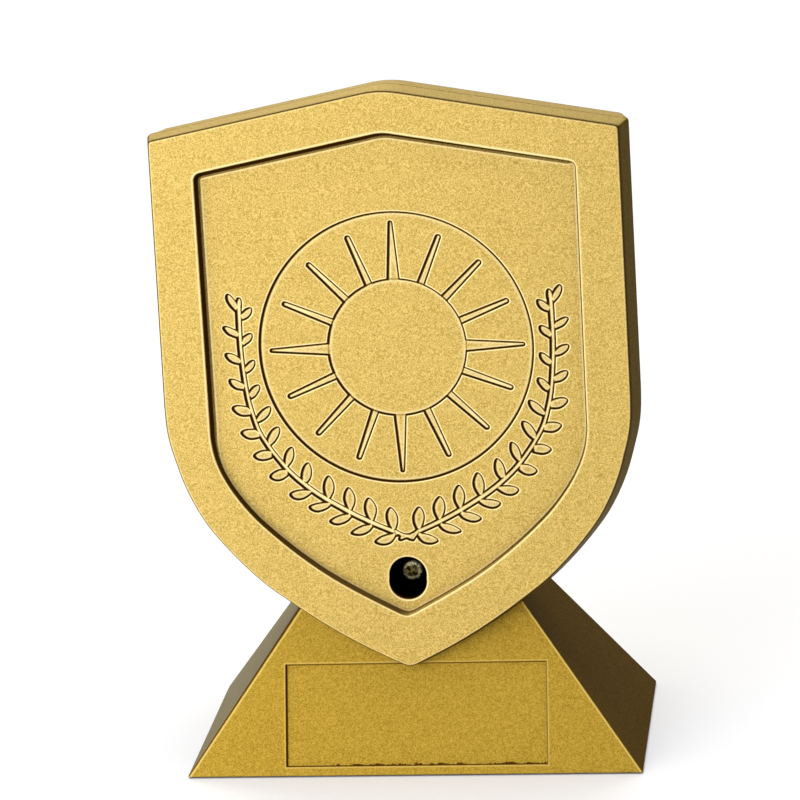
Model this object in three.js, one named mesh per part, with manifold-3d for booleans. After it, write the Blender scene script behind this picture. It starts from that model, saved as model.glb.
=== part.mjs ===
import * as THREE from 'three';
import { mergeVertices } from 'three/addons/utils/BufferGeometryUtils.js';
import Module from 'manifold-3d';

// Shield trophy: a hollow two-shell shield screwed to a hollow, weighted
// pyramid foot. Millimetres, +Z up. Heights and depths are measured from the
// middle of the foot's front bottom edge, and the whole is then moved so that
// the origin is the centre of the footprint. The side with the sun and the
// wreath faces -Y.

// ---- foot -------------------------------------------------------------
const FOOT_W = 88;            // along X, at the floor
const FOOT_D = 48;            // along Y, at the floor
const FOOT_APEX = 60;         // height where the four slopes would meet
const FOOT_TOP = 48;          // the buttress behind the shield is cut off here
const RIM_Z = 0.3;            // the plastic rim stays this far off the floor
const FOOT_WALL_X = 2.7;      // horizontal wall thickness in the end slopes
const FOOT_WALL_Y = 2.4;      // horizontal wall thickness in the long slopes
const PLATE_W = 50;           // seat for an engraved plate
const PLATE_H = 19.3;
const PLATE_DEPTH = 0.7;
const PLATE_MID = 11.6;       // middle of the seat, up the slope from the floor

const COVER_W = 79.2;         // plate that closes the foot from below
const COVER_D = 40.8;
const COVER_Z0 = 1.5;
const COVER_Z1 = 3.3;
const FIT = 0.3;              // gap between neighbouring pieces
const FELT_W = 77;
const FELT_D = 39;
const FELT_T = 1.2;
const WEIGHT_W = 56;
const WEIGHT_D = 30;
const WEIGHT_H = 8.4;
const POST_X = 33;            // cover screws, from the centre of the foot
const POST_Y = 13;

// ---- shield -----------------------------------------------------------
const LEAN = 3.5;             // degrees that the shield leans back
const SHIELD_Y = 4;           // its face's plane meets the floor plane here
const SHIELD_HALF_TOP = 43.7; // half width at the top corners
const SHIELD_APEX = 130.95;   // height of the pointed top, before rounding
const SHIELD_CORNER = 122.8;  // height of the top corners
const SHIELD_TIP = 20.55;     // height of the lower point
const SHELL_DEPTH = 7.5;      // each of the two shells
const SEAM = 0.3;             // between the two shells
const FLARE = 1.5;            // the sides widen by this from face to seam
const TOP_FLARE = 0.4;        // the same along the two top edges
const THICK = 2 * SHELL_DEPTH + SEAM;
const FACE_WALL = 4;          // border thickness; 2 behind the panel
const RECESS = 2;             // depth of the panel below the border
const RECESS_HALF = 35.5;
const RECESS_APEX = 123.0;
const RECESS_CORNER = 116.35;
const RECESS_TIP = 30.6;
const SUN_V = 82.0;           // height of the sun's centre up the shield
const RING_R = 25.85;         // round step down from the panel, round the sun
const RING_DEPTH = 0.5;
const DISC_R = 13.0;          // takes a standard 25 mm centre disc
const SUN_DEPTH = 0.4;        // disc and rays, below the ring's floor
const WREATH_DEPTH = 0.5;     // below the panel
const RAYS = 16;
const RAY_LONG = 24.0;        // tip radius of the four long rays
const RAY_SHORT = 22.9;
const WELL_V = 37.4;          // fixing screw, height up the shield
const WELL_R = 3.9;
const WELL_FLOOR = 8.5;       // depth below the border's face
const SEAT_R = 25.2;          // seat for a 50 mm centre on the other side

// half outline of the shield below its hip, (x, height up the shield)
const SHIELD_SIDE = [[44.0, 72], [43.85, 68], [43.35, 64.6], [42.4, 61], [41.25, 57.2], [39.6, 53.2], [37.3, 49], [34.3, 45], [30.8, 41], [26.7, 37], [22.5, 33.75], [18.9, 31.1], [15.7, 28.9], [12.9, 27.1], [10.2, 25.5], [7.5, 24.0], [4.7, 22.55], [2.3, 21.35], [0.9, 20.72], [0, SHIELD_TIP]];
const RECESS_SIDE = [[35.5, 69], [35.45, 65.5], [34.75, 61.6], [33.1, 57.6], [30.9, 54.0], [28.0, 50.3], [24.6, 46.9], [20.9, 43.6], [17.2, 40.65], [13.6, 38.1], [9.9, 35.8], [6.5, 33.85], [3.0, 31.95], [1.2, 31.0], [0, RECESS_TIP]];
// one branch of the wreath: the middle of its stem from the root up, the stem's half widths, and the outline of each
// leaf from one side of its root to the other
const STEM = [[2.2, 46.4], [4.5, 47.35], [8.65, 49.36], [12.65, 51.65], [16.75, 54.3], [20.8, 57.75], [23.9, 61.5], [26.1, 64.9], [27.2, 67.2], [28.0, 70.0], [28.6, 72.6], [29.05, 76.2], [29.3, 79.2], [29.46, 82.5], [29.45, 86.0], [29.38, 89.0], [29.3, 91.6]];
const STEM_HALF = 0.45;
const LEAVES = [
  [[2.05, 46.85], [1.6, 48.0], [1.55, 49.4], [2.05, 50.5], [2.75, 51.15], [3.4, 50.3], [3.55, 49.2], [3.3, 48.0], [2.95, 47.2]],
  [[6.1, 48.75], [5.6, 50.0], [5.5, 51.2], [5.95, 52.3], [6.75, 53.1], [7.4, 52.3], [7.6, 51.1], [7.4, 50.0], [7.05, 49.15]],
  [[10.2, 50.8], [9.6, 52.0], [9.45, 53.2], [9.8, 54.4], [10.5, 55.2], [11.15, 54.4], [11.45, 53.2], [11.3, 52.2], [11.05, 51.4]],
  [[14.15, 53.25], [13.5, 54.4], [13.3, 55.6], [13.55, 56.7], [14.15, 57.55], [14.85, 56.8], [15.2, 55.6], [15.2, 54.6], [15.0, 53.75]],
  [[18.45, 56.3], [17.75, 57.2], [17.45, 58.4], [17.55, 59.5], [17.95, 60.2], [18.7, 59.6], [19.15, 58.6], [19.35, 57.7], [19.4, 56.95]],
  [[21.95, 59.5], [21.1, 60.5], [20.65, 61.6], [20.6, 62.6], [20.85, 63.3], [21.55, 62.9], [22.1, 62.1], [22.4, 61.1], [22.5, 60.2]],
  [[25.05, 63.65], [24.0, 64.6], [23.3, 65.7], [23.0, 66.7], [23.2, 67.3], [24.0, 67.05], [24.7, 66.4], [25.2, 65.6], [25.55, 64.85]],
  [[27.05, 68.25], [25.9, 68.8], [25.0, 69.6], [24.5, 70.6], [24.6, 71.3], [25.4, 71.05], [26.2, 70.5], [26.8, 69.9], [27.3, 69.2]],
  [[28.05, 72.9], [27.3, 73.35], [26.7, 74.1], [26.3, 74.9], [26.45, 75.5], [27.1, 75.4], [27.7, 75.0], [28.2, 74.45]],
  [[28.75, 77.85], [28.0, 78.2], [27.35, 78.8], [26.95, 79.6], [27.05, 80.3], [27.7, 80.15], [28.2, 79.75], [28.7, 79.3]],
  [[28.95, 83.1], [28.3, 83.5], [27.6, 84.0], [27.15, 84.75], [27.2, 85.4], [27.8, 85.4], [28.4, 85.1], [28.95, 84.75]],
  [[28.9, 88.1], [28.1, 88.35], [27.4, 88.85], [26.95, 89.6], [26.95, 90.35], [27.6, 90.3], [28.15, 90.0], [28.75, 89.5]],
  [[29.6, 90.6], [29.7, 91.6], [29.3, 92.3], [28.9, 92.2], [28.75, 91.5], [28.8, 90.6]],
  [[2.75, 46.05], [3.8, 45.85], [4.8, 45.5], [5.6, 45.0], [5.95, 44.5], [5.3, 44.1], [4.4, 43.95], [3.4, 44.15], [2.6, 44.75], [2.0, 45.7]],
  [[7.0, 47.9], [8.1, 47.75], [9.2, 47.3], [10.1, 46.75], [10.4, 46.3], [9.7, 46.0], [8.8, 45.95], [7.8, 46.2], [6.9, 46.75], [6.3, 47.5]],
  [[11.1, 50.05], [12.2, 49.9], [13.3, 49.5], [14.1, 49.05], [14.35, 48.65], [13.7, 48.2], [12.8, 48.1], [11.8, 48.35], [10.9, 48.85], [10.25, 49.55]],
  [[15.0, 52.4], [16.0, 52.35], [17.1, 52.15], [17.9, 51.85], [18.15, 51.5], [17.6, 50.95], [16.7, 50.7], [15.7, 50.9], [14.8, 51.3], [14.1, 51.85]],
  [[18.5, 54.9], [19.4, 54.95], [20.4, 54.85], [21.3, 54.55], [21.7, 54.1], [21.2, 53.45], [20.3, 53.15], [19.3, 53.3], [18.4, 53.75], [17.65, 54.35]],
  [[22.95, 59.05], [23.8, 58.9], [24.6, 58.5], [25.15, 58.05], [25.3, 57.6], [24.7, 57.1], [23.8, 56.95], [22.9, 57.2], [21.95, 57.85]],
  [[25.65, 62.8], [26.5, 62.8], [27.4, 62.5], [28.0, 62.1], [28.15, 61.7], [27.5, 61.15], [26.6, 60.95], [25.6, 61.1], [24.8, 61.35]],
  [[27.65, 66.95], [28.6, 67.0], [29.5, 66.9], [30.15, 66.6], [30.25, 66.2], [29.6, 65.5], [28.7, 65.15], [27.7, 65.2], [26.85, 65.4]],
  [[28.95, 71.35], [29.8, 71.55], [30.7, 71.65], [31.45, 71.45], [31.65, 71.0], [31.1, 70.3], [30.2, 69.75], [29.2, 69.65], [28.3, 69.75]],
  [[29.5, 75.95], [30.2, 76.35], [31.0, 76.7], [31.75, 76.75], [31.95, 76.35], [31.6, 75.6], [30.9, 75.0], [30.1, 74.75], [29.3, 74.65]],
  [[29.9, 80.9], [30.6, 81.4], [31.4, 81.7], [32.15, 81.75], [32.35, 81.4], [32.05, 80.75], [31.4, 80.15], [30.6, 79.8], [29.75, 79.65]],
  [[30.0, 86.1], [30.7, 86.45], [31.4, 86.8], [32.15, 86.95], [32.45, 86.65], [32.1, 86.0], [31.5, 85.4], [30.7, 85.0], [29.9, 84.7]],
  [[29.8, 91.6], [30.2, 92.2], [30.7, 92.8], [31.2, 93.1], [31.5, 92.7], [31.45, 92.0], [31.1, 91.2], [30.6, 90.5], [29.9, 89.8]],
];
// right half of the tie between the two branches
const TIE = [[0, 45.1], [0.6, 44.85], [1.3, 44.7], [1.7, 45.2], [2.05, 45.65], [2.6, 46.6], [2.3, 46.9], [1.3, 46.25], [0, 45.95]];

// ---- solids -----------------------------------------------------------
const wasm = await Module();
wasm.setup();

function solid(geometry, matrix) {
  let g = geometry.clone();
  if (matrix) g.applyMatrix4(matrix);
  g.deleteAttribute('normal');
  g.deleteAttribute('uv');
  g = mergeVertices(g, 1e-4);
  const vertProperties = new Float32Array(g.attributes.position.array);
  const triVerts = new Uint32Array(g.index.array);
  return new wasm.Manifold(new wasm.Mesh({ numProp: 3, vertProperties, triVerts }));
}

function toGeometry(manifold) {
  const m = manifold.getMesh();
  const pos = new Float32Array(m.numVert * 3);
  for (let i = 0; i < m.numVert; i++) for (let k = 0; k < 3; k++) pos[3 * i + k] = m.vertProperties[i * m.numProp + k];
  const g = new THREE.BufferGeometry();
  g.setAttribute('position', new THREE.BufferAttribute(pos, 3));
  g.setIndex(new THREE.BufferAttribute(new Uint32Array(m.triVerts), 1));
  return g;
}

const shift = (x, y, z) => new THREE.Matrix4().makeTranslation(x, y, z);
const box = (x0, x1, y0, y1, z0, z1) => solid(new THREE.BoxGeometry(x1 - x0, y1 - y0, z1 - z0), shift((x0 + x1) / 2, (y0 + y1) / 2, (z0 + z1) / 2));
// cylinder along Z
function rod(r, x, y, z0, z1, n = 32) {
  const g = new THREE.CylinderGeometry(r, r, z1 - z0, n).rotateX(Math.PI / 2);
  return solid(g, shift(x, y, (z0 + z1) / 2));
}
// prism from a closed list of [x, y], between two heights
function prism(points, z0, z1) {
  const shape = new THREE.Shape(points.map(([x, y]) => new THREE.Vector2(x, y)));
  return solid(new THREE.ExtrudeGeometry(shape, { depth: z1 - z0, bevelEnabled: false, curveSegments: 1 }), shift(0, 0, z0));
}
// four-sided block whose sides slope in along X and along Y independently
function slopes(cx, cy, z0, hx0, hy0, z1, hx1, hy1) {
  const a = new THREE.Shape([new THREE.Vector2(-hx0, z0), new THREE.Vector2(hx0, z0), new THREE.Vector2(hx1, z1), new THREE.Vector2(-hx1, z1)]);
  const b = new THREE.Shape([new THREE.Vector2(-hy0, z0), new THREE.Vector2(hy0, z0), new THREE.Vector2(hy1, z1), new THREE.Vector2(-hy1, z1)]);
  const ga = new THREE.ExtrudeGeometry(a, { depth: 4 * hy0, bevelEnabled: false }).translate(0, 0, -2 * hy0).rotateX(Math.PI / 2);
  const gb = new THREE.ExtrudeGeometry(b, { depth: 4 * hx0, bevelEnabled: false }).translate(0, 0, -2 * hx0).rotateX(Math.PI / 2).rotateZ(Math.PI / 2);
  return solid(ga, shift(cx, cy, 0)).intersect(solid(gb, shift(cx, cy, 0)));
}

// ---- outlines ---------------------------------------------------------
// closed outline from the apex round the right side to the tip and back
function heater(apex, halfTop, corner, side, apexRound, cornerRound, samples) {
  const slope = (apex - corner) / halfTop;
  const right = [];
  const ax = apexRound;
  const bez = (p0, p1, p2, t) => [(1 - t) ** 2 * p0[0] + 2 * t * (1 - t) * p1[0] + t * t * p2[0], (1 - t) ** 2 * p0[1] + 2 * t * (1 - t) * p1[1] + t * t * p2[1]];
  for (let i = 0; i <= 3; i++) right.push(bez([-ax, apex - slope * ax], [0, apex], [ax, apex - slope * ax], 0.5 + i / 6));
  const c = [halfTop, corner], l = Math.hypot(1, slope), r = cornerRound;
  for (let i = 0; i <= 3; i++) right.push(bez([c[0] - r / l, c[1] + r * slope / l], c, [c[0], c[1] - r], i / 3));
  const curve = new THREE.SplineCurve(side.map(([x, y]) => new THREE.Vector2(x, y)));
  for (const p of curve.getPoints(samples)) right.push([p.x, p.y]);
  right[right.length - 1][0] = 0;
  const left = right.slice(1, -1).reverse().map(([x, y]) => [-x, y]);
  return right.concat(left).reverse();  // counter-clockwise
}
// cut a convex outline with the line through p along q, keeping its left side
function clip(points, p, q) {
  const side = ([x, y]) => q[0] * (y - p[1]) - q[1] * (x - p[0]);
  const out = [];
  for (let i = 0; i < points.length; i++) {
    const a = points[i], b = points[(i + 1) % points.length], sa = side(a), sb = side(b);
    if (sa >= 0) out.push(a);
    if (sa * sb < 0) out.push([a[0] + (b[0] - a[0]) * sa / (sa - sb), a[1] + (b[1] - a[1]) * sa / (sa - sb)]);
  }
  return out;
}
// move a convex counter-clockwise outline inward by d
function shrink(points, d) {
  let out = [[-60, 0], [60, 0], [60, 140], [-60, 140]];
  for (let i = 0; i < points.length; i++) {
    const a = points[i], b = points[(i + 1) % points.length];
    const e = [b[0] - a[0], b[1] - a[1]], l = Math.hypot(...e);
    out = clip(out, [a[0] - e[1] / l * d, a[1] + e[0] / l * d], e);
  }
  return out.filter((p, i) => {
    const q = out[(i + 1) % out.length];
    return Math.hypot(p[0] - q[0], p[1] - q[1]) > 0.05;
  });
}
// move a convex closed outline outward by d
function grow(points, d) {
  if (d < 0) return shrink(points, -d);
  const n = points.length, out = [];
  for (let i = 0; i < n; i++) {
    const a = points[(i + n - 1) % n], b = points[i], c = points[(i + 1) % n];
    const e1 = [b[0] - a[0], b[1] - a[1]], e2 = [c[0] - b[0], c[1] - b[1]];
    const l1 = Math.hypot(...e1), l2 = Math.hypot(...e2);
    const n1 = [e1[1] / l1, -e1[0] / l1], n2 = [e2[1] / l2, -e2[0] / l2];
    const k = d / (1 + n1[0] * n2[0] + n1[1] * n2[1]);
    out.push([b[0] + (n1[0] + n2[0]) * k, b[1] + (n1[1] + n2[1]) * k]);
  }
  return out;
}

const outline = heater(SHIELD_APEX, SHIELD_HALF_TOP, SHIELD_CORNER, SHIELD_SIDE, 3.4, 0.8, 19);
const recess = heater(RECESS_APEX, RECESS_HALF, RECESS_CORNER, RECESS_SIDE, 1.6, 1.3, 14);

// the closed body of both shells: the sides widen from each face to the seam.
// extra grows it all round and at both ends
function shieldBody(extra, outlineGrow) {
  const pts = grow(outline, outlineGrow);
  const shape = new THREE.Shape(pts.map(([x, y]) => new THREE.Vector2(x, y)));
  const straight = SEAM + 0.4, slant = (THICK - straight) / 2 + extra;
  const g = new THREE.ExtrudeGeometry(shape, { depth: straight, bevelEnabled: true, bevelThickness: slant, bevelSize: FLARE, bevelOffset: 0, bevelSegments: 1, curveSegments: 1 });
  const body = solid(g, shift(0, 0, -(slant + straight) + extra));
  // the top edges widen less than the rest
  const top = grow(outline, outlineGrow + TOP_FLARE).filter(([, y]) => y > SHIELD_CORNER - 0.5).sort((a, b) => a[0] - b[0]);
  const k = (SHIELD_APEX - SHIELD_CORNER) / SHIELD_HALF_TOP;
  const inner = top.filter(([x]) => Math.abs(x) < SHIELD_HALF_TOP - 1);
  const first = inner[0], last = inner[inner.length - 1];
  const trim = [[-60, 0], [60, 0], [60, last[1] - k * (60 - last[0])], ...inner.slice().reverse(), [-60, first[1] - k * (60 + first[0])]];
  return body.intersect(prism(trim, -THICK - extra - 5, extra + 5));
}

// ---- outlines engraved in the panel of the sun's side -------------------
function rayShape(index) {
  const long = index % 4 === 0;
  const a = (index / RAYS) * 2 * Math.PI;
  const r0 = DISC_R - 0.6, r1 = long ? RAY_LONG : RAY_SHORT;
  const b = long ? 1.2 : 0.76, t = long ? 0.38 : 0.5;
  const pts = [[-b, r0], [b, r0], [t, r1 - 0.6 * t], [0, r1], [-t, r1 - 0.6 * t]];
  return pts.map(([x, y]) => [x * Math.cos(a) + y * Math.sin(a), SUN_V - x * Math.sin(a) + y * Math.cos(a)]);
}
const stemCurve = new THREE.SplineCurve(STEM.map(([x, y]) => new THREE.Vector2(x, y)));
const stemPoints = stemCurve.getPoints(200);
// a leaf's outline, closed over the middle of the stem
function leafShape(leaf) {
  const a = leaf[0], b = leaf[leaf.length - 1], mx = (a[0] + b[0]) / 2, my = (a[1] + b[1]) / 2;
  let root = stemPoints[0];
  for (const p of stemPoints) if (Math.hypot(p.x - mx, p.y - my) < Math.hypot(root.x - mx, root.y - my)) root = p;
  return [...leaf, [root.x, root.y]];
}
function stemShape() {
  const mid = stemCurve.getPoints(16), left = [], right = [];
  for (let i = 0; i < mid.length; i++) {
    const a = mid[Math.max(i - 1, 0)], b = mid[Math.min(i + 1, mid.length - 1)];
    const dx = b.x - a.x, dy = b.y - a.y, l = Math.hypot(dx, dy);
    right.push([mid[i].x + dy / l * STEM_HALF, mid[i].y - dx / l * STEM_HALF]);
    left.push([mid[i].x - dy / l * STEM_HALF, mid[i].y + dx / l * STEM_HALF]);
  }
  return right.concat(left.reverse());
}
const mirror = (points) => points.map(([x, y]) => [-x, y]).reverse();
const tieShape = TIE.concat(mirror(TIE).slice(1, -1));

// ---- shield shells, in the shield's own frame: X across, Y up, +Z out --
const seat = -RECESS;                       // panel surface
const body = shieldBody(0, 0);
let back = body.intersect(box(-60, 60, 0, 140, -SHELL_DEPTH, 1));
back = back.subtract(prism(grow(outline, -1.0), -SHELL_DEPTH - 1, -FACE_WALL));
const WELL_TUBE = 5.4;
back = back.add(rod(WELL_TUBE, 0, WELL_V, -WELL_FLOOR - 1.8, -3, 36));
const PEGS = [[30, 106], [-30, 106], [27, 62], [-27, 62]];
for (const [x, y] of PEGS) back = back.add(rod(3.1, x, y, -SHELL_DEPTH, -3.2, 16));
for (const [x, y] of PEGS) back = back.subtract(rod(1.7, x, y, -SHELL_DEPTH - 1, -4.3, 12));
back = back.subtract(prism(recess, seat, 1));
// the sun, in two steps down from the panel, and the wreath, in one
const ringFloor = seat - RING_DEPTH, sunFloor = ringFloor - SUN_DEPTH;
let engraved = rod(RING_R, 0, SUN_V, ringFloor, seat + 0.2, 64).add(rod(DISC_R, 0, SUN_V, sunFloor, seat + 0.1, 48));
for (let i = 0; i < RAYS; i++) engraved = engraved.add(prism(rayShape(i), sunFloor, seat + 0.15));
for (const side of [(p) => p, mirror]) {
  engraved = engraved.add(prism(side(stemShape()), seat - WREATH_DEPTH, seat + 0.1));
  for (const leaf of LEAVES) engraved = engraved.add(prism(side(leafShape(leaf)), seat - WREATH_DEPTH, seat + 0.1));
}
engraved = engraved.add(prism(tieShape, seat - WREATH_DEPTH, seat + 0.1));
back = back.subtract(engraved);
back = back.subtract(rod(WELL_R, 0, WELL_V, -WELL_FLOOR, 1, 36));
back = back.subtract(rod(1.4, 0, WELL_V, -WELL_FLOOR - 3, -WELL_FLOOR + 1, 20));

let front = body.intersect(box(-60, 60, 0, 140, -THICK - 1, -SHELL_DEPTH - SEAM));
front = front.subtract(prism(grow(outline, -2.5), -THICK + FACE_WALL, -SHELL_DEPTH));
// lip that enters the other shell, pegs and the screw's boss
front = front.add(prism(grow(outline, -1.4), -SHELL_DEPTH - SEAM - 0.5, -SHELL_DEPTH + 1.4).subtract(prism(grow(outline, -2.5), -SHELL_DEPTH - 3, 0)));
for (const [x, y] of PEGS) front = front.add(rod(2.6, x, y, -THICK + FACE_WALL - 0.6, -SHELL_DEPTH - 0.6, 16)).add(rod(1.3, x, y, -SHELL_DEPTH - 1.5, -4.9, 12));
front = front.add(rod(5.2, 0, WELL_V, -THICK + FACE_WALL - 0.6, -WELL_FLOOR - 1.8 - 0.4, 36));
front = front.subtract(prism(recess, -THICK - 1, -THICK + RECESS));
front = front.add(rod(5.2, 0, WELL_V, -THICK, -THICK + RECESS + 0.5, 36));
front = front.subtract(rod(1.4, 0, WELL_V, -THICK - 1, 0, 20));
// raised rim of the round seat on the other side
front = front.add(rod(SEAT_R + 1.4, 0, SUN_V, -THICK + RECESS - 0.9, -THICK + RECESS + 0.3, 48).subtract(rod(SEAT_R, 0, SUN_V, -THICK, -THICK + RECESS + 1, 48)));

// ---- fixing screw ------------------------------------------------------
// turned profile (radius, height) with the head's top at height 0
function screwSolid(headR, headH, dome, shankR, length, crossLen, crossWide) {
  const profile = [[0, -length], [shankR * 0.3, -length], [shankR, -(length - 1.6)], [shankR, -headH], [headR, -headH], [headR, -0.15], [headR * 0.7, dome * 0.5], [0, dome]];
  let s = solid(new THREE.LatheGeometry(profile.map(([r, z]) => new THREE.Vector2(r, z)), 16).rotateX(Math.PI / 2));
  const a = new THREE.BoxGeometry(crossLen, crossWide, 1.6);
  s = s.subtract(solid(a, new THREE.Matrix4().makeRotationZ(Math.PI / 4).setPosition(0, 0, dome)));
  return s.subtract(solid(a, new THREE.Matrix4().makeRotationZ(-Math.PI / 4).setPosition(0, 0, dome)));
}
const HEAD_H = 1.1, HEAD_DOME = 0.35;
const fixing = screwSolid(1.85, HEAD_H, HEAD_DOME, 1.0, 14.5, 2.3, 0.5);
const FIXING_Z = -WELL_FLOOR + FIT + HEAD_H;   // the head's underside is just off the well's floor

// ---- foot ---------------------------------------------------------------
const half = (z, h, wall) => h * (1 - z / FOOT_APEX) - wall;
const CY = FOOT_D / 2;
const outer = slopes(0, CY, RIM_Z, half(RIM_Z, FOOT_W / 2, 0), half(RIM_Z, FOOT_D / 2, 0), FOOT_TOP, half(FOOT_TOP, FOOT_W / 2, 0), half(FOOT_TOP, FOOT_D / 2, 0));
const CAV_TOP = 45.4;
const cavity = slopes(0, CY, -1, half(-1, FOOT_W / 2, FOOT_WALL_X), half(-1, FOOT_D / 2, FOOT_WALL_Y), CAV_TOP, half(CAV_TOP, FOOT_W / 2, FOOT_WALL_X), half(CAV_TOP, FOOT_D / 2, FOOT_WALL_Y));
// from the shield's frame to the foot's
const lean = new THREE.Matrix4().makeRotationX(Math.PI / 2 - LEAN * Math.PI / 180).setPosition(0, SHIELD_Y, 0);
const place = (manifold) => manifold.transform(lean.elements);
const pocket = place(shieldBody(0.35, 0.35).add(prism(grow(outline, 0.38), -0.6, 30)));
const pocketWall = place(shieldBody(2.2, 2.2).add(prism(grow(outline, 2.3), -0.7, 30)));
const bossBlock = place(rod(3.6, 0, WELL_V, -34, -THICK - 0.1, 28)).intersect(outer);

let foot = outer.subtract(cavity.subtract(pocketWall));
foot = foot.add(bossBlock);
for (const sx of [-1, 1]) {
  for (const sy of [-1, 1]) foot = foot.add(rod(3.2, sx * POST_X, CY + sy * POST_Y, 2, 14, 20).intersect(outer));
  foot = foot.add(box(sx * 15 - 0.8, sx * 15 + 0.8, -2, FOOT_D + 2, COVER_Z1 + FIT + WEIGHT_H + FIT, 40).intersect(outer));
}
foot = foot.subtract(pocket);
foot = foot.subtract(box(-COVER_W / 2 - FIT, COVER_W / 2 + FIT, CY - COVER_D / 2 - FIT, CY + COVER_D / 2 + FIT, -2, COVER_Z1 + FIT));
foot = foot.subtract(place(rod(1.35, 0, WELL_V, -THICK - 9.4, -THICK + 1, 16)));
for (const sx of [-1, 1]) for (const sy of [-1, 1]) foot = foot.subtract(rod(1.35, sx * POST_X, CY + sy * POST_Y, 1, 9.4, 16));
// the plate seats in the two long slopes
for (const back of [0, 1]) {
  const slope = Math.atan2(FOOT_APEX, FOOT_D / 2);
  const g = new THREE.BoxGeometry(PLATE_W, PLATE_H, 2 * PLATE_DEPTH);
  const m = new THREE.Matrix4().makeRotationX(slope);
  m.setPosition(0, PLATE_MID * Math.cos(slope), PLATE_MID * Math.sin(slope));
  const t = back ? new THREE.Matrix4().makeRotationZ(Math.PI).setPosition(0, FOOT_D, 0).multiply(m) : m;
  foot = foot.subtract(solid(g, t));
}

let cover = box(-COVER_W / 2, COVER_W / 2, CY - COVER_D / 2, CY + COVER_D / 2, COVER_Z0, COVER_Z1);
for (const sx of [-1, 1]) for (const sy of [-1, 1]) {
  cover = cover.subtract(rod(1.35, sx * POST_X, CY + sy * POST_Y, 0, 5, 16));
  cover = cover.subtract(rod(2.35, sx * POST_X, CY + sy * POST_Y, 0, COVER_Z0 + 1.0, 16));
}

const coverScrew = screwSolid(1.95, 0.65, 0.05, 1.0, 7.4, 2.2, 0.5);

const weightShape = new THREE.Shape([new THREE.Vector2(-WEIGHT_W / 2 + 1, -WEIGHT_D / 2 + 1), new THREE.Vector2(WEIGHT_W / 2 - 1, -WEIGHT_D / 2 + 1), new THREE.Vector2(WEIGHT_W / 2 - 1, WEIGHT_D / 2 - 1), new THREE.Vector2(-WEIGHT_W / 2 + 1, WEIGHT_D / 2 - 1)]);
const weightGeometry = new THREE.ExtrudeGeometry(weightShape, { depth: WEIGHT_H - 2, bevelEnabled: true, bevelThickness: 1, bevelSize: 1, bevelSegments: 1, curveSegments: 1 });
const weight = solid(weightGeometry, shift(0, 0, 1));

const feltCorner = 2;
const feltShape = new THREE.Shape();
feltShape.moveTo(-FELT_W / 2 + feltCorner, -FELT_D / 2);
feltShape.lineTo(FELT_W / 2 - feltCorner, -FELT_D / 2);
feltShape.absarc(FELT_W / 2 - feltCorner, -FELT_D / 2 + feltCorner, feltCorner, -Math.PI / 2, 0);
feltShape.lineTo(FELT_W / 2, FELT_D / 2 - feltCorner);
feltShape.absarc(FELT_W / 2 - feltCorner, FELT_D / 2 - feltCorner, feltCorner, 0, Math.PI / 2);
feltShape.lineTo(-FELT_W / 2 + feltCorner, FELT_D / 2);
feltShape.absarc(-FELT_W / 2 + feltCorner, FELT_D / 2 - feltCorner, feltCorner, Math.PI / 2, Math.PI);
feltShape.lineTo(-FELT_W / 2, -FELT_D / 2 + feltCorner);
feltShape.absarc(-FELT_W / 2 + feltCorner, -FELT_D / 2 + feltCorner, feltCorner, Math.PI, 1.5 * Math.PI);
const felt = solid(new THREE.ExtrudeGeometry(feltShape, { depth: FELT_T, bevelEnabled: false, curveSegments: 3 }));

// ---- materials ----------------------------------------------------------
const goldPaint = () => new THREE.MeshStandardMaterial({ color: 0xd8b052, roughness: 0.42, metalness: 0.75 });
const blackPlastic = () => new THREE.MeshStandardMaterial({ color: 0x1b1815, roughness: 0.45, metalness: 0 });
const steel = () => new THREE.MeshStandardMaterial({ color: 0xa39a78, roughness: 0.35, metalness: 1 });
const iron = () => new THREE.MeshStandardMaterial({ color: 0x4a4643, roughness: 0.7, metalness: 0.8 });
const feltCloth = () => new THREE.MeshStandardMaterial({ color: 0x1e1d1c, roughness: 0.95, metalness: 0 });

function piece(name, manifold, material, parent) {
  const mesh = new THREE.Mesh(toGeometry(manifold), material);
  mesh.name = name;
  parent.add(mesh);
  return mesh;
}

// ---- assembly -----------------------------------------------------------
const trophy = new THREE.Group();
trophy.position.set(0, -CY, 0);   // origin at the centre of the footprint

const shield = new THREE.Group();
shield.rotation.x = Math.PI / 2 - LEAN * Math.PI / 180;
shield.position.set(0, SHIELD_Y, 0);
trophy.add(shield);
piece('shield_back_shell', back, goldPaint(), shield);
piece('shield_front_shell', front, goldPaint(), shield);
piece('shield_fixing_screw', fixing, steel(), shield).position.set(0, WELL_V, FIXING_Z);

piece('base_shell', foot, goldPaint(), trophy);
piece('base_cover', cover, blackPlastic(), trophy);
piece('base_weight', weight, iron(), trophy).position.set(0, CY, COVER_Z1 + FIT);
let n = 0;
for (const sy of [-1, 1]) for (const sx of [-1, 1]) {
  n += 1;
  const s = piece('cover_screw_' + n, coverScrew, steel(), trophy);
  s.rotation.x = Math.PI;             // head down, point up
  s.position.set(sx * POST_X, CY + sy * POST_Y, COVER_Z0 + 0.05);
}
piece('felt_pad', felt, feltCloth(), trophy).position.set(0, CY, 0);

const root = new THREE.Group();
root.add(trophy);
export default root;
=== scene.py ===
import math

import bmesh
import bpy
import numpy as np
from mathutils import Matrix, Vector
from mathutils.geometry import delaunay_2d_cdt

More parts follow.
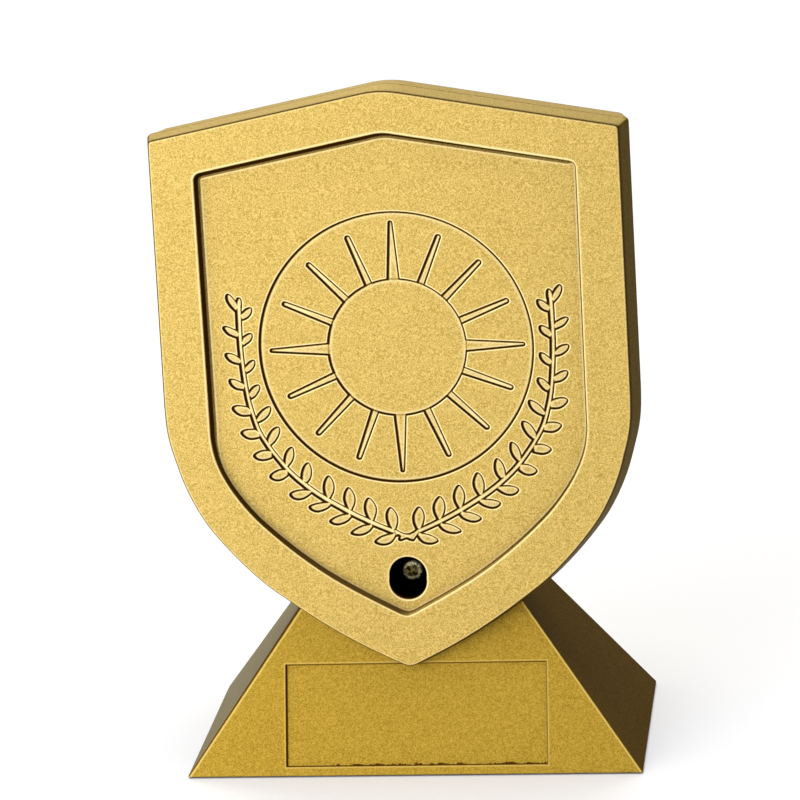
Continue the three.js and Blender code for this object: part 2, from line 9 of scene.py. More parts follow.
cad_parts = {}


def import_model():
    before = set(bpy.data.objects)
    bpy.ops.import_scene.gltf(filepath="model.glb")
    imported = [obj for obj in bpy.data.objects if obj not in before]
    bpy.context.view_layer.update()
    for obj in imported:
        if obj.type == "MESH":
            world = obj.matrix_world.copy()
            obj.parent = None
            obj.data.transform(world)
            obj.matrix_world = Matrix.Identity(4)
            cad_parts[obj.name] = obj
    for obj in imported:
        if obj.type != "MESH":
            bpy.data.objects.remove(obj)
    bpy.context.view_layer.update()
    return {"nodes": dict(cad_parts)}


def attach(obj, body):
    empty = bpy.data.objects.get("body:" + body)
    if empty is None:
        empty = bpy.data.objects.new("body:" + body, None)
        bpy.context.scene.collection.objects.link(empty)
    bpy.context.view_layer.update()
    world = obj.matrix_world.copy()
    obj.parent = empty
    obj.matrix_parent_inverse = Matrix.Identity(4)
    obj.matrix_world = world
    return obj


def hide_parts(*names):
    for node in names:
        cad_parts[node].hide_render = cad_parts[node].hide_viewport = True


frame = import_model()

# ---------------------------------------------------------------------------
# dimensions, in millimetres; the same ones as the CAD model has
# ---------------------------------------------------------------------------
MM = 0.001
LEAN = math.radians(3.5)
CT, ST = math.cos(math.pi / 2 - LEAN), math.sin(math.pi / 2 - LEAN)
SHELL = 7.5                 # depth of each shell
SEAM = 0.3                  # drawn as a fine line between them
LAP = 0.14                  # each shell's inner face stands past its rim and closes the seam
THICK = 2 * SHELL + SEAM
FLARE, TOP_FLARE = 1.5, 0.4
SUN_V = 82.0
RING_R, DISC_R = 25.85, 13.0
WELL_V = 37.4
SCREW_X, SCREW_V = 0.48, 0.06   # the screw sits to one side in its clearance hole
SEAT_R = 25.2
PANEL = 2.0                 # panel below the border
STEP = 0.5                  # ring floor and wreath below the panel
SUN_STEP = 0.4              # disc and rays below the ring floor

SHIELD_SIDE = [(44.0, 72), (43.85, 68), (43.35, 64.6), (42.4, 61), (41.25, 57.2), (39.6, 53.2), (37.3, 49), (34.3, 45),
               (30.8, 41), (26.7, 37), (22.5, 33.75), (18.9, 31.1), (15.7, 28.9), (12.9, 27.1), (10.2, 25.5), (7.5, 24.0),
               (4.7, 22.55), (2.3, 21.35), (0.9, 20.72), (0, 20.55)]
RECESS_SIDE = [(35.5, 69), (35.45, 65.5), (34.75, 61.6), (33.1, 57.6), (30.9, 54.0), (28.0, 50.3), (24.6, 46.9), (20.9, 43.6),
               (17.2, 40.65), (13.6, 38.1), (9.9, 35.8), (6.5, 33.85), (3.0, 31.95), (1.2, 31.0), (0, 30.6)]
# one branch of the wreath: its stem's middle line with half widths, and the outlines of its leaves, from stem to stem
STEM = [(2.2, 46.4), (4.5, 47.35), (8.65, 49.36), (12.65, 51.65), (16.75, 54.3), (20.8, 57.75), (23.9, 61.5), (26.1, 64.9),
        (27.2, 67.2), (28.0, 70.0), (28.6, 72.6), (29.05, 76.2), (29.3, 79.2), (29.46, 82.5), (29.45, 86.0), (29.38, 89.0), (29.3, 91.6)]
STEM_HALF = [0.46, 0.48, 0.50, 0.50, 0.50, 0.47, 0.44, 0.42, 0.42, 0.42, 0.42, 0.42, 0.42, 0.43, 0.45, 0.48, 0.46]
LEAVES = [
    [(2.05, 46.85), (1.6, 48.0), (1.55, 49.4), (2.05, 50.5), (2.75, 51.15), (3.4, 50.3), (3.55, 49.2), (3.3, 48.0), (2.95, 47.2)],
    [(6.1, 48.75), (5.6, 50.0), (5.5, 51.2), (5.95, 52.3), (6.75, 53.1), (7.4, 52.3), (7.6, 51.1), (7.4, 50.0), (7.05, 49.15)],
    [(10.2, 50.8), (9.6, 52.0), (9.45, 53.2), (9.8, 54.4), (10.5, 55.2), (11.15, 54.4), (11.45, 53.2), (11.3, 52.2), (11.05, 51.4)],
    [(14.15, 53.25), (13.5, 54.4), (13.3, 55.6), (13.55, 56.7), (14.15, 57.55), (14.85, 56.8), (15.2, 55.6), (15.2, 54.6), (15.0, 53.75)],
    [(18.45, 56.3), (17.75, 57.2), (17.45, 58.4), (17.55, 59.5), (17.95, 60.2), (18.7, 59.6), (19.15, 58.6), (19.35, 57.7), (19.4, 56.95)],
    [(21.95, 59.5), (21.1, 60.5), (20.65, 61.6), (20.6, 62.6), (20.85, 63.3), (21.55, 62.9), (22.1, 62.1), (22.4, 61.1), (22.5, 60.2)],
    [(25.05, 63.65), (24.0, 64.6), (23.3, 65.7), (23.0, 66.7), (23.2, 67.3), (24.0, 67.05), (24.7, 66.4), (25.2, 65.6), (25.55, 64.85)],
    [(27.05, 68.25), (25.9, 68.8), (25.0, 69.6), (24.5, 70.6), (24.6, 71.3), (25.4, 71.05), (26.2, 70.5), (26.8, 69.9), (27.3, 69.2)],
    [(28.05, 72.9), (27.3, 73.35), (26.7, 74.1), (26.3, 74.9), (26.45, 75.5), (27.1, 75.4), (27.7, 75.0), (28.2, 74.45)],
    [(28.75, 77.85), (28.0, 78.2), (27.35, 78.8), (26.95, 79.6), (27.05, 80.3), (27.7, 80.15), (28.2, 79.75), (28.7, 79.3)],
    [(28.95, 83.1), (28.3, 83.5), (27.6, 84.0), (27.15, 84.75), (27.2, 85.4), (27.8, 85.4), (28.4, 85.1), (28.95, 84.75)],
    [(28.9, 88.1), (28.1, 88.35), (27.4, 88.85), (26.95, 89.6), (26.95, 90.35), (27.6, 90.3), (28.15, 90.0), (28.75, 89.5)],
    [(29.6, 90.6), (29.7, 91.6), (29.3, 92.3), (28.9, 92.2), (28.75, 91.5), (28.8, 90.6)],
    [(2.75, 46.05), (3.8, 45.85), (4.8, 45.5), (5.6, 45.0), (5.95, 44.5), (5.3, 44.1), (4.4, 43.95), (3.4, 44.15), (2.6, 44.75), (2.0, 45.7)],
    [(7.0, 47.9), (8.1, 47.75), (9.2, 47.3), (10.1, 46.75), (10.4, 46.3), (9.7, 46.0), (8.8, 45.95), (7.8, 46.2), (6.9, 46.75), (6.3, 47.5)],
    [(11.1, 50.05), (12.2, 49.9), (13.3, 49.5), (14.1, 49.05), (14.35, 48.65), (13.7, 48.2), (12.8, 48.1), (11.8, 48.35), (10.9, 48.85), (10.25, 49.55)],
    [(15.0, 52.4), (16.0, 52.35), (17.1, 52.15), (17.9, 51.85), (18.15, 51.5), (17.6, 50.95), (16.7, 50.7), (15.7, 50.9), (14.8, 51.3), (14.1, 51.85)],
    [(18.5, 54.9), (19.4, 54.95), (20.4, 54.85), (21.3, 54.55), (21.7, 54.1), (21.2, 53.45), (20.3, 53.15), (19.3, 53.3), (18.4, 53.75), (17.65, 54.35)],
    [(22.95, 59.05), (23.8, 58.9), (24.6, 58.5), (25.15, 58.05), (25.3, 57.6), (24.7, 57.1), (23.8, 56.95), (22.9, 57.2), (21.95, 57.85)],
    [(25.65, 62.8), (26.5, 62.8), (27.4, 62.5), (28.0, 62.1), (28.15, 61.7), (27.5, 61.15), (26.6, 60.95), (25.6, 61.1), (24.8, 61.35)],
    [(27.65, 66.95), (28.6, 67.0), (29.5, 66.9), (30.15, 66.6), (30.25, 66.2), (29.6, 65.5), (28.7, 65.15), (27.7, 65.2), (26.85, 65.4)],
    [(28.95, 71.35), (29.8, 71.55), (30.7, 71.65), (31.45, 71.45), (31.65, 71.0), (31.1, 70.3), (30.2, 69.75), (29.2, 69.65), (28.3, 69.75)],
    [(29.5, 75.95), (30.2, 76.35), (31.0, 76.7), (31.75, 76.75), (31.95, 76.35), (31.6, 75.6), (30.9, 75.0), (30.1, 74.75), (29.3, 74.65)],
    [(29.9, 80.9), (30.6, 81.4), (31.4, 81.7), (32.15, 81.75), (32.35, 81.4), (32.05, 80.75), (31.4, 80.15), (30.6, 79.8), (29.75, 79.65)],
    [(30.0, 86.1), (30.7, 86.45), (31.4, 86.8), (32.15, 86.95), (32.45, 86.65), (32.1, 86.0), (31.5, 85.4), (30.7, 85.0), (29.9, 84.7)],
    [(29.8, 91.6), (30.2, 92.2), (30.7, 92.8), (31.2, 93.1), (31.5, 92.7), (31.45, 92.0), (31.1, 91.2), (30.6, 90.5), (29.9, 89.8)],
]
# where the two branches meet
TIE = [(-2.0, 45.55), (-1.6, 45.75), (-1.3, 45.5), (-1.4, 45.0), (-1.15, 44.75), (-0.6, 44.9), (0, 45.1), (0.6, 44.85), (1.3, 44.7),
       (1.7, 45.2), (2.05, 45.65), (2.6, 46.6), (2.3, 46.9), (1.3, 46.25), (0.3, 45.93), (-0.8, 46.15), (-2.0, 46.85), (-2.5, 46.5)]
# the rays, by their angles from straight up, clockwise
RAYS = [0.0, 23.0, 45.7, 68.4, 90.0, 111.3, 134.2, 157.3, 180.4, 201.6, 224.4, 246.8, 270.0, 293.1, 315.8, 338.8]
SUN_X, RING_X, WREATH_X = 0.5, 0.3, 0.35     # the engraving isn't quite in the middle
LINE = 0.12

FOOT_W, FOOT_D, FOOT_APEX, FOOT_TOP, RIM_Z = 88.0, 48.0, 60.0, 48.0, 0.3
SLOPE = math.atan2(FOOT_APEX, FOOT_D / 2)
PLATE_W, PLATE_H, PLATE_DEPTH, PLATE_MID = 50.0, 19.3, 0.7, 11.6
SEAT_X, SEAT_MID = 0.6, PLATE_MID + 0.3      # the seats aren't quite in the middle either


def world(p):
    """Points of the shield's own frame (across, up the shield, out of its face) in the row frame, in metres."""
    p = np.asarray(p, float).reshape(-1, 3)
    x, v, z = p[:, 0], p[:, 1], p[:, 2]
    return np.stack([x, -20 + v * CT - z * ST, v * ST + z * CT], 1) * MM


# ---------------------------------------------------------------------------
# outlines
# ---------------------------------------------------------------------------
def spline(points, n):
    p = np.array(points, float)
    t = np.linspace(0, 1, n, endpoint=False)[:, None]
    out = []
    for i in range(len(p) - 1):
        a, b, c, d = p[max(i - 1, 0)], p[i], p[i + 1], p[min(i + 2, len(p) - 1)]
        out.append(0.5 * (2 * b + (c - a) * t + (2 * a - 5 * b + 4 * c - d) * t ** 2 + (3 * b - a - 3 * c + d) * t ** 3))
    return np.vstack(out + [p[-1:]])


def bezier(a, b, c, t):
    a, b, c = (np.array(q, float) for q in (a, b, c))
    t = np.asarray(t)[:, None]
    return (1 - t) ** 2 * a + 2 * t * (1 - t) * b + t * t * c


def heater(apex, half, corner, side, apex_round, corner_round, n):
    """Closed counter-clockwise outline of a heater shield."""
    k = (apex - corner) / half
    right = [bezier((-apex_round, apex - k * apex_round), (0, apex), (apex_round, apex - k * apex_round), np.linspace(0.5, 1, 7))]
    l, r = math.hypot(1, k), corner_round
    first = np.array([half - r / l, corner + r * k / l])
    last = right[0][-1]
    m = 18
    right.append(last + (first - last) * (np.arange(1, m) / m)[:, None])
    right.append(bezier(first, (half, corner), (half, corner - r), np.linspace(0, 1, 9)))
    down = spline(side, n)
    a, b = np.array([half, corner - r]), down[0]
    right.append(a + (b - a) * (np.arange(1, 16) / 16)[:, None])
    right.append(down)
    right = np.vstack(right)
    right[-1, 0] = 0
    left = right[1:-1][::-1] * [-1, 1]
    return np.vstack([right, left])[::-1].copy()


def edge_normals(loop):
    """Outward unit normal and mitre length of each point of a counter-clockwise loop."""
    nxt, prv = np.roll(loop, -1, 0), np.roll(loop, 1, 0)
    e1, e2 = loop - prv, nxt - loop
    e1 /= np.linalg.norm(e1, axis=1)[:, None]
    e2 /= np.linalg.norm(e2, axis=1)[:, None]
    n1, n2 = np.stack([e1[:, 1], -e1[:, 0]], 1), np.stack([e2[:, 1], -e2[:, 0]], 1)
    n = n1 + n2
    n /= np.linalg.norm(n, axis=1)[:, None]
    return n, 1 / np.clip((n * n1).sum(1), 0.5, 1)


OUTLINE = heater(130.95, 43.7, 122.8, SHIELD_SIDE, 3.4, 0.8, 8)
RECESS = heater(123.0, 35.5, 116.35, RECESS_SIDE, 1.6, 1.3, 8)
ON, OM = edge_normals(OUTLINE)
_top = np.clip((0.983 - ON[:, 1]) / 0.75, 0, 1)
_top = _top * _top * (3 - 2 * _top)
FLARES = np.where(OUTLINE[:, 1] > 121.5, TOP_FLARE + (FLARE - TOP_FLARE) * _top, FLARE)


def outline_at(offset, flare):
    """The shield's outline moved out by offset, and by that share of the flare."""
    return OUTLINE + ON * ((offset + FLARES * flare) * OM)[:, None]


# ---------------------------------------------------------------------------
# signed distances on a grid, contours and meshing between contours
# ---------------------------------------------------------------------------
PITCH = 0.1
GX = np.arange(-37.0, 37.0 + PITCH / 2, PITCH)
GV = np.arange(29.0, 125.0 + PITCH / 2, PITCH)


def window(lo, hi, margin):
    i0, i1 = np.searchsorted(GX, [lo[0] - margin, hi[0] + margin])
    j0, j1 = np.searchsorted(GV, [lo[1] - margin, hi[1] + margin])
    return max(i0 - 1, 0), min(i1 + 1, len(GX)), max(j0 - 1, 0), min(j1 + 1, len(GV))


def polygon_distance(poly, x, y):
    """Signed distance, negative inside, of grid points to a closed polygon."""
    d = np.full(x.shape, 1e9)
    inside = np.zeros(x.shape, bool)
    n = len(poly)
    for i in range(n):
        ax, ay = poly[i]
        bx, by = poly[(i + 1) % n]
        ex, ey = bx - ax, by - ay
        t = np.clip(((x - ax) * ex + (y - ay) * ey) / (ex * ex + ey * ey + 1e-12), 0, 1)
        d = np.minimum(d, (x - ax - t * ex) ** 2 + (y - ay - t * ey) ** 2)
        if ay != by:
            cross = ((ay > y) != (by > y)) & (x < (bx - ax) * (y - ay) / (by - ay) + ax)
            inside ^= cross
    return np.where(inside, -1, 1) * np.sqrt(d)


def stamp(field, poly, margin=1.6):
    i0, i1, j0, j1 = window(poly.min(0), poly.max(0), margin)
    x, y = np.meshgrid(GX[i0:i1], GV[j0:j1])
    part = field[j0:j1, i0:i1]
    np.minimum(part, polygon_distance(poly, x, y), out=part)


def ray_outline(index):
    """A long pointed ray every fourth one, and a round-ended one otherwise."""
    long = index % 4 == 0
    a = math.radians(RAYS[index])
    r0, r1 = DISC_R - 0.8, (23.95 if long else 22.9)
    b, t = (1.10, 0.26) if long else (0.64, 0.39)
    pts = [(-b, r0), (b, r0)]
    for q in np.linspace(0, math.pi, 9):
        pts.append((t * math.cos(q), r1 - t + t * math.sin(q)))
    p = np.array(pts)
    c, s = math.cos(a), math.sin(a)
    return np.stack([SUN_X + p[:, 0] * c + p[:, 1] * s, SUN_V - p[:, 0] * s + p[:, 1] * c], 1)


def blur(field, n):
    """Box blur of a grid by n cells to each side."""
    for axis in (0, 1):
        pad = [(0, 0), (0, 0)]
        pad[axis] = (n + 1, n)
        c = np.cumsum(np.pad(field, pad, mode="edge"), axis=axis)
        hi, lo = [slice(None)] * 2, [slice(None)] * 2
        hi[axis], lo[axis] = slice(2 * n + 1, None), slice(0, -(2 * n + 1))
        field = (c[tuple(hi)] - c[tuple(lo)]) / (2 * n + 1)
    return field


# painted shadow: edges on the upper left side of a hollow, where the key light comes from, get a wider dark line and a
# brown strip on the floor at their foot, standing in for the shadow their wall casts
SHADE = np.array([-0.90, 0.44])
DEEP_SHADE = np.array([-0.62, 1.36])


def shade_of(field, towards=SHADE):
    gv, gx = np.gradient(blur(field, 1), PITCH)
    n = np.hypot(gx, gv) + 1e-6
    return np.clip(blur((gx * towards[0] + gv * towards[1]) / n, 1), 0, 1.6)


def build_fields():
    shape = (len(GV), len(GX))
    x, y = np.meshgrid(GX, GV)
    recess = polygon_distance(RECESS[::2], x, y)
    paler = np.interp(x, [-5, 6, 34], [1.0, 0.82, 0.50])   # the upper edge's dark line gets thinner towards the right
    wall_paint_and_highlight = np.clip((shade_of(recess, np.array([0.5, -0.86])) - 0.55) * 2.2, 0, 1)   # paint cover halfway down the lower right walls, rising a little into painted highlight, where those walls face the light
    ring = np.hypot(x - RING_X, y - SUN_V) - RING_R - 0.05
    sun = np.hypot(x - SUN_X, y - SUN_V) - DISC_R
    for i in range(16):
        stamp(sun, ray_outline(i))
    wreath = np.full(shape, 2.0)
    stem = spline(STEM, 6)
    wide = np.interp(np.linspace(0, len(STEM) - 1, len(stem)), np.arange(len(STEM)), STEM_HALF) - 0.02
    nxt = np.gradient(stem, axis=0)
    nxt /= np.linalg.norm(nxt, axis=1)[:, None]
    off = np.stack([nxt[:, 1], -nxt[:, 0]], 1) * wide[:, None]
    shapes = [np.vstack([stem + off, (stem - off)[::-1]])]
    for leaf in LEAVES:                  # closed over the stem's middle, so that leaf and stem are one hollow
        root = (np.array(leaf[0]) + leaf[-1]) / 2
        shapes.append(np.vstack([spline(leaf, 4), stem[np.argmin(((stem - root) ** 2).sum(1))]]))
    for s in shapes:
        stamp(wreath, s + [WREATH_X, 0])
        stamp(wreath, s * [-1, 1] + [WREATH_X, 0])
    stamp(wreath, spline(TIE, 3) + [WREATH_X, 0])
    fields = {"recess": (recess, shade_of(recess, DEEP_SHADE) * paler, wall_paint_and_highlight), "ring": (ring, np.maximum(shade_of(ring), 0.45))}
    for name, field in (("sun", sun), ("wreath", wreath)):
        shade = shade_of(field)
        fields[name] = (field - LINE - 0.08 * shade, shade)
    well = np.minimum(np.hypot(x - 0.26, y - 37.95) - 3.54, np.hypot(x - 0.20, y - 36.75) - 3.56)
    fields["well"] = (well, np.zeros(shape))
    return fields


def sample(grid, points):
    """A grid's values at points, nearest cell."""
    i = np.clip(np.rint((points[:, 0] - GX[0]) / PITCH).astype(int), 0, len(GX) - 1)
    j = np.clip(np.rint((points[:, 1] - GV[0]) / PITCH).astype(int), 0, len(GV) - 1)
    return grid[j, i]


SEGMENTS = {1: [(3, 0)], 2: [(0, 1)], 3: [(3, 1)], 4: [(1, 2)], 5: [(3, 2), (1, 0)], 6: [(0, 2)], 7: [(3, 2)],
            8: [(2, 3)], 9: [(2, 0)], 10: [(0, 3), (2, 1)], 11: [(2, 1)], 12: [(1, 3)], 13: [(1, 0)], 14: [(0, 3)]}


def contour(field, level):
    """Closed polylines where the field has that level, simplified."""
    g = field - level
    g[np.abs(g) < 1e-7] = 1e-7
    inside = g < 0
    h, w = g.shape
    code = inside[:-1, :-1] * 1 + inside[:-1, 1:] * 2 + inside[1:, 1:] * 4 + inside[1:, :-1] * 8
    links = {}
    for c, segments in SEGMENTS.items():
        rows, cols = np.nonzero(code == c)
        ids = [rows * w + cols, h * w + rows * w + cols + 1, (rows + 1) * w + cols, h * w + rows * w + cols]
        for a, b in segments:
            for p, q in zip(ids[a].tolist(), ids[b].tolist()):
                links.setdefault(p, []).append(q)
                links.setdefault(q, []).append(p)

    def place(key):
        if key < h * w:
            r, c = divmod(key, w)
            a, b = g[r, c], g[r, c + 1]
            return GX[c] + PITCH * a / (a - b), GV[r]
        r, c = divmod(key - h * w, w)
        a, b = g[r, c], g[r + 1, c]
        return GX[c], GV[r] + PITCH * a / (a - b)

    loops, seen = [], set()
    for start in links:
        if start in seen or len(links[start]) != 2:
            continue
        chain, key, before = [start], links[start][0], start
        seen.add(start)
        while key != start and len(links.get(key, ())) == 2:
            chain.append(key)
            seen.add(key)
            a, b = links[key]
            key, before = (b if a == before else a), key
        if key == start and len(chain) > 5:
            loops.append(simplify(np.array([place(q) for q in chain]), 0.006))
    return loops


def simplify(loop, tol):
    """Douglas-Peucker on a closed loop."""
    n = len(loop)
    far = int(np.argmax(((loop - loop[0]) ** 2).sum(1)))
    keep = np.zeros(n + 1, bool)
    keep[[0, far, n]] = True
    pts = np.vstack([loop, loop[:1]])
    stack = [(0, far), (far, n)]
    while stack:
        a, b = stack.pop()
        if b - a < 2:
            continue
        p, q = pts[a], pts[b]
        e = q - p
        l = math.hypot(*e) + 1e-12
        d = np.abs((pts[a + 1:b, 0] - p[0]) * e[1] - (pts[a + 1:b, 1] - p[1]) * e[0]) / l
        k = int(np.argmax(d))
        if d[k] > tol or l > 2.5:
            k += a + 1
            keep[k] = True
            stack += [(a, k), (k, b)]
    return pts[:-1][keep[:-1]]


class Build:
    """Collects a mesh's points in the shield's frame, with the paint's cover at each."""

    def __init__(self):
        self.points, self.cover, self.faces = [], [], []

    def add(self, xy, z, cover):
        start = len(self.points)
        xy = np.asarray(xy, float)
        z = np.broadcast_to(z, len(xy))
        self.points += [(a, b, c) for (a, b), c in zip(xy.tolist(), z.tolist())]
        self.cover += np.broadcast_to(cover, len(xy)).tolist()
        return list(range(start, start + len(xy)))

    def strip(self, a, b):
        """Quads from closed loop a to loop b, which lies further along; both counter-clockwise as seen from outside."""
        n = len(a)
        for i in range(n):
            j = (i + 1) % n
            self.faces.append((a[i], b[i], b[j], a[j]))

    def sheet(self, loops, keep, flip=False):
        """Triangles between closed loops of point indices, where keep(x, y) holds at the middle."""
        idx = [i for loop in loops for i in loop]
        local = {p: k for k, p in enumerate(idx)}
        coords = [Vector((self.points[p][0], self.points[p][1])) for p in idx]
        edges = []
        for loop in loops:
            edges += [(local[loop[i]], local[loop[(i + 1) % len(loop)]]) for i in range(len(loop))]
        verts, _, tris, origin, _, _ = delaunay_2d_cdt(coords, edges, [], 0, 1e-6, True)
        back = []
        for k, v in enumerate(verts):
            if origin[k]:
                back.append(idx[origin[k][0]])
            else:
                near = min(range(len(coords)), key=lambda q: (coords[q] - v).length_squared)
                self.points.append((v.x, v.y, self.points[idx[near]][2]))
                self.cover.append(self.cover[idx[near]])
                back.append(len(self.points) - 1)
        mids = np.array([[sum(verts[q][a] for q in t) / len(t) for a in (0, 1)] for t in tris])
        good = keep(mids[:, 0], mids[:, 1])
        for t, ok in zip(tris, good):
            if ok:
                f = [back[q] for q in t]
                if len(set(f)) == 3:
                    self.faces.append(tuple(reversed(f)) if flip else tuple(f))

    def object(self, name):
        mesh = bpy.data.meshes.new(name)
        mesh.from_pydata(world(self.points).tolist(), [], self.faces)
        attribute = mesh.attributes.new("cover", "FLOAT", "POINT")
        attribute.data.foreach_set("value", np.array(self.cover, np.float32))
        mesh.validate(clean_customdata=False)
        return link(mesh, name)


def link(mesh, name):
    obj = bpy.data.objects.new(name, mesh)
    bpy.context.scene.collection.objects.link(obj)
    return obj


def clean(obj):
    """Points that all but coincide become one, and slivers just outside the outline go."""
    bm = bmesh.new()
    bm.from_mesh(obj.data)
    bmesh.ops.remove_doubles(bm, verts=bm.verts, dist=0.004 * MM)
    bmesh.ops.dissolve_degenerate(bm, dist=0.0005 * MM, edges=bm.edges)
    for _ in range(6):
        stray = [f for f in bm.faces if any(len(e.link_faces) == 1 for e in f.edges)
                 and any(len(e.link_faces) > 2 for e in f.edges)]
        if not stray:
            break
        bmesh.ops.delete(bm, geom=stray, context="FACES")
    gaps = bmesh.ops.holes_fill(bm, edges=[e for e in bm.edges if e.is_boundary], sides=4)["faces"]
    turned = [f for f in gaps if not all(e.is_contiguous for e in f.edges)]
    bmesh.ops.reverse_faces(bm, faces=turned)
    bm.to_mesh(obj.data)
    bm.free()
    return obj


def tidy(obj, angle=50, recalc=True):
    """Outward normals, smooth shading with hard edges, and flat areas that stay flat."""
    if recalc:
        bm = bmesh.new()
        bm.from_mesh(obj.data)
        bmesh.ops.recalc_face_normals(bm, faces=bm.faces)
        bm.to_mesh(obj.data)
        bm.free()
    obj.data.polygons.foreach_set("use_smooth", [True] * len(obj.data.polygons))
    obj.data.set_sharp_from_angle(angle=math.radians(angle))
    wn = obj.modifiers.new("flat", "WEIGHTED_NORMAL")
    wn.mode = "FACE_AREA"
    wn.keep_sharp = True
    wn.weight = 100
    return apply(obj)


def apply(obj):
    bpy.context.view_layer.update()
    mesh = bpy.data.meshes.new_from_object(obj.evaluated_get(bpy.context.evaluated_depsgraph_get()))
    obj.modifiers.clear()
    old = obj.data
    obj.data = mesh
    bpy.data.meshes.remove(old)
    mesh.name = obj.name
    return obj


def inside_loop(loop):
    loop = np.asarray(loop)
    nxt = np.roll(loop, -1, 0)

    def test(x, y):
        inside = np.zeros(len(x), bool)
        for (ax, ay), (bx, by) in zip(loop, nxt):
            if ay != by:
                inside ^= ((ay > y) != (by > y)) & (x < (bx - ax) * (y - ay) / (by - ay) + ax)
        return inside
    return test


def circle(cx, cy, r, n):
    a = np.arange(n) / n * 2 * math.pi
    return np.stack([cx + r * np.cos(a), cy + r * np.sin(a)], 1)


# levels of a step down: (distance outside its line, share of the painted shadow that moves it inwards, height above the
# upper floor as (share of the drop, extra), paint cover where there is no painted shadow, and where there is). Where
# there is painted shadow the dark line is wider and a brown strip follows it; cover above 1 is a painted highlight,
# along the step's upper edge and in a light line beside the dark one.
FINE = [
    (0.36, 0, 0, 0.0, 1.00, 1.00), (0.21, 0, 0, 0.0, 1.30, 1.30), (0.11, 0, 0, -0.01, 1.28, 1.28), (0.055, 0, 0, -0.05, 0.60, 0.60),
    (0.00, 0, 0, -0.14, 0.0, 0.0), (-0.04, 0, 1, -0.05, 0.0, 0.0), (-0.20, 0.11, 1, -0.05, 0.0, 0.0),
    (-0.26, 0.16, 1, -0.02, 0.75, 0.45), (-0.35, 0.21, 1, 0.0, 1.30, 1.22), (-0.60, 0.23, 1, 0.0, 1.10, 1.10), (-0.95, 0.25, 1, 0.0, 1.0, 1.0),
]
DEEP = [
    (0.60, 0, 0, 0.0, 1.0, 1.0), (0.40, 0, 0, 0.0, 1.15, 1.25), (0.25, 0, 0, -0.015, 1.25, 1.30), (0.16, 0, 0, -0.04, 0.40, 1.15),
    (0.055, 0, 0, -0.11, 0.20, 0.70), (0.01, 0, 0, -0.22, 0.16, 0.10), (-0.03, 0, 1, -0.03, 0.18, 0.0), (-0.06, 0.50, 1, -0.03, 0.10, 0.0),
    (-0.10, 0.52, 1, -0.01, 0.60, 0.28), (-0.16, (0.35, 0.76), 1, 0.0, 0.85, 0.40), (-0.22, (0.37, 0.78), 1, 0.0, 1.20, 1.22),
    (-0.34, (0.38, 0.80), 1, 0.0, 1.15, 1.15), (-0.60, (0.40, 0.80), 1, 0.0, 1.0, 1.0),
]
# the face's rounded outer edge: (inwards of the outline, share of the flare, depth, paint cover); cover above 1 is a
# painted highlight just inside the edge, and the low cover on the rounding draws a dark outline
ROUND = [(-0.52, 0, 0.0, 1.0), (-0.34, 0, 0.0, 1.10), (-0.26, 0, 0.015, 1.15), (-0.19, 0, 0.04, 0.75), (-0.13, 0, 0.08, 0.25), (-0.06, 0, 0.17, 0.06),
         (-0.01, 0.02, 0.30, 0.05), (0, 0.06, 0.5, 0.35), (0, 0.2, 1.5, 1.0), (0, 0.4, 3.0, 1.0), (0, 0.6, 4.5, 1.0), (0, 0.8, 6.0, 1.0),
         (0, 0.94, 7.05, 1.0), (-0.03, 0.97, 7.28, 0.9), (-0.10, 0.985, 7.42, 0.4), (-0.25, 1, SHELL, 0.1), (-1.3, 1, SHELL, 0.0),
         (-1.3, 1, SHELL + LAP, 0.0)]


def carve(b, loops, pair, top, drop, levels, sign=1, base=0.0):
    field, shade = pair[:2]
    for level, move, low, extra, clear, dim in levels:
        # painted shadow: where an edge faces the upper left, its dark levels move inwards, widening the dark line on
        # the floor at the wall's foot
        shift = move[0] * shade + move[1] * np.minimum(shade, 0.65) if isinstance(move, tuple) else move * shade
        for loop in contour(field + shift, level):
            cover = clear + (dim - clear) * np.minimum(sample(shade, loop) * 1.4, 1.0)
            # the third field raises the upper wall's paint cover to 1.1, a little into painted highlight, where the
            # wall faces the light
            if len(pair) > 2 and 0 < level < 0.2:
                cover = cover + (1.1 - cover) * sample(pair[2], loop)
            loops.append(b.add(loop, base + sign * (top - low * drop + extra), cover))


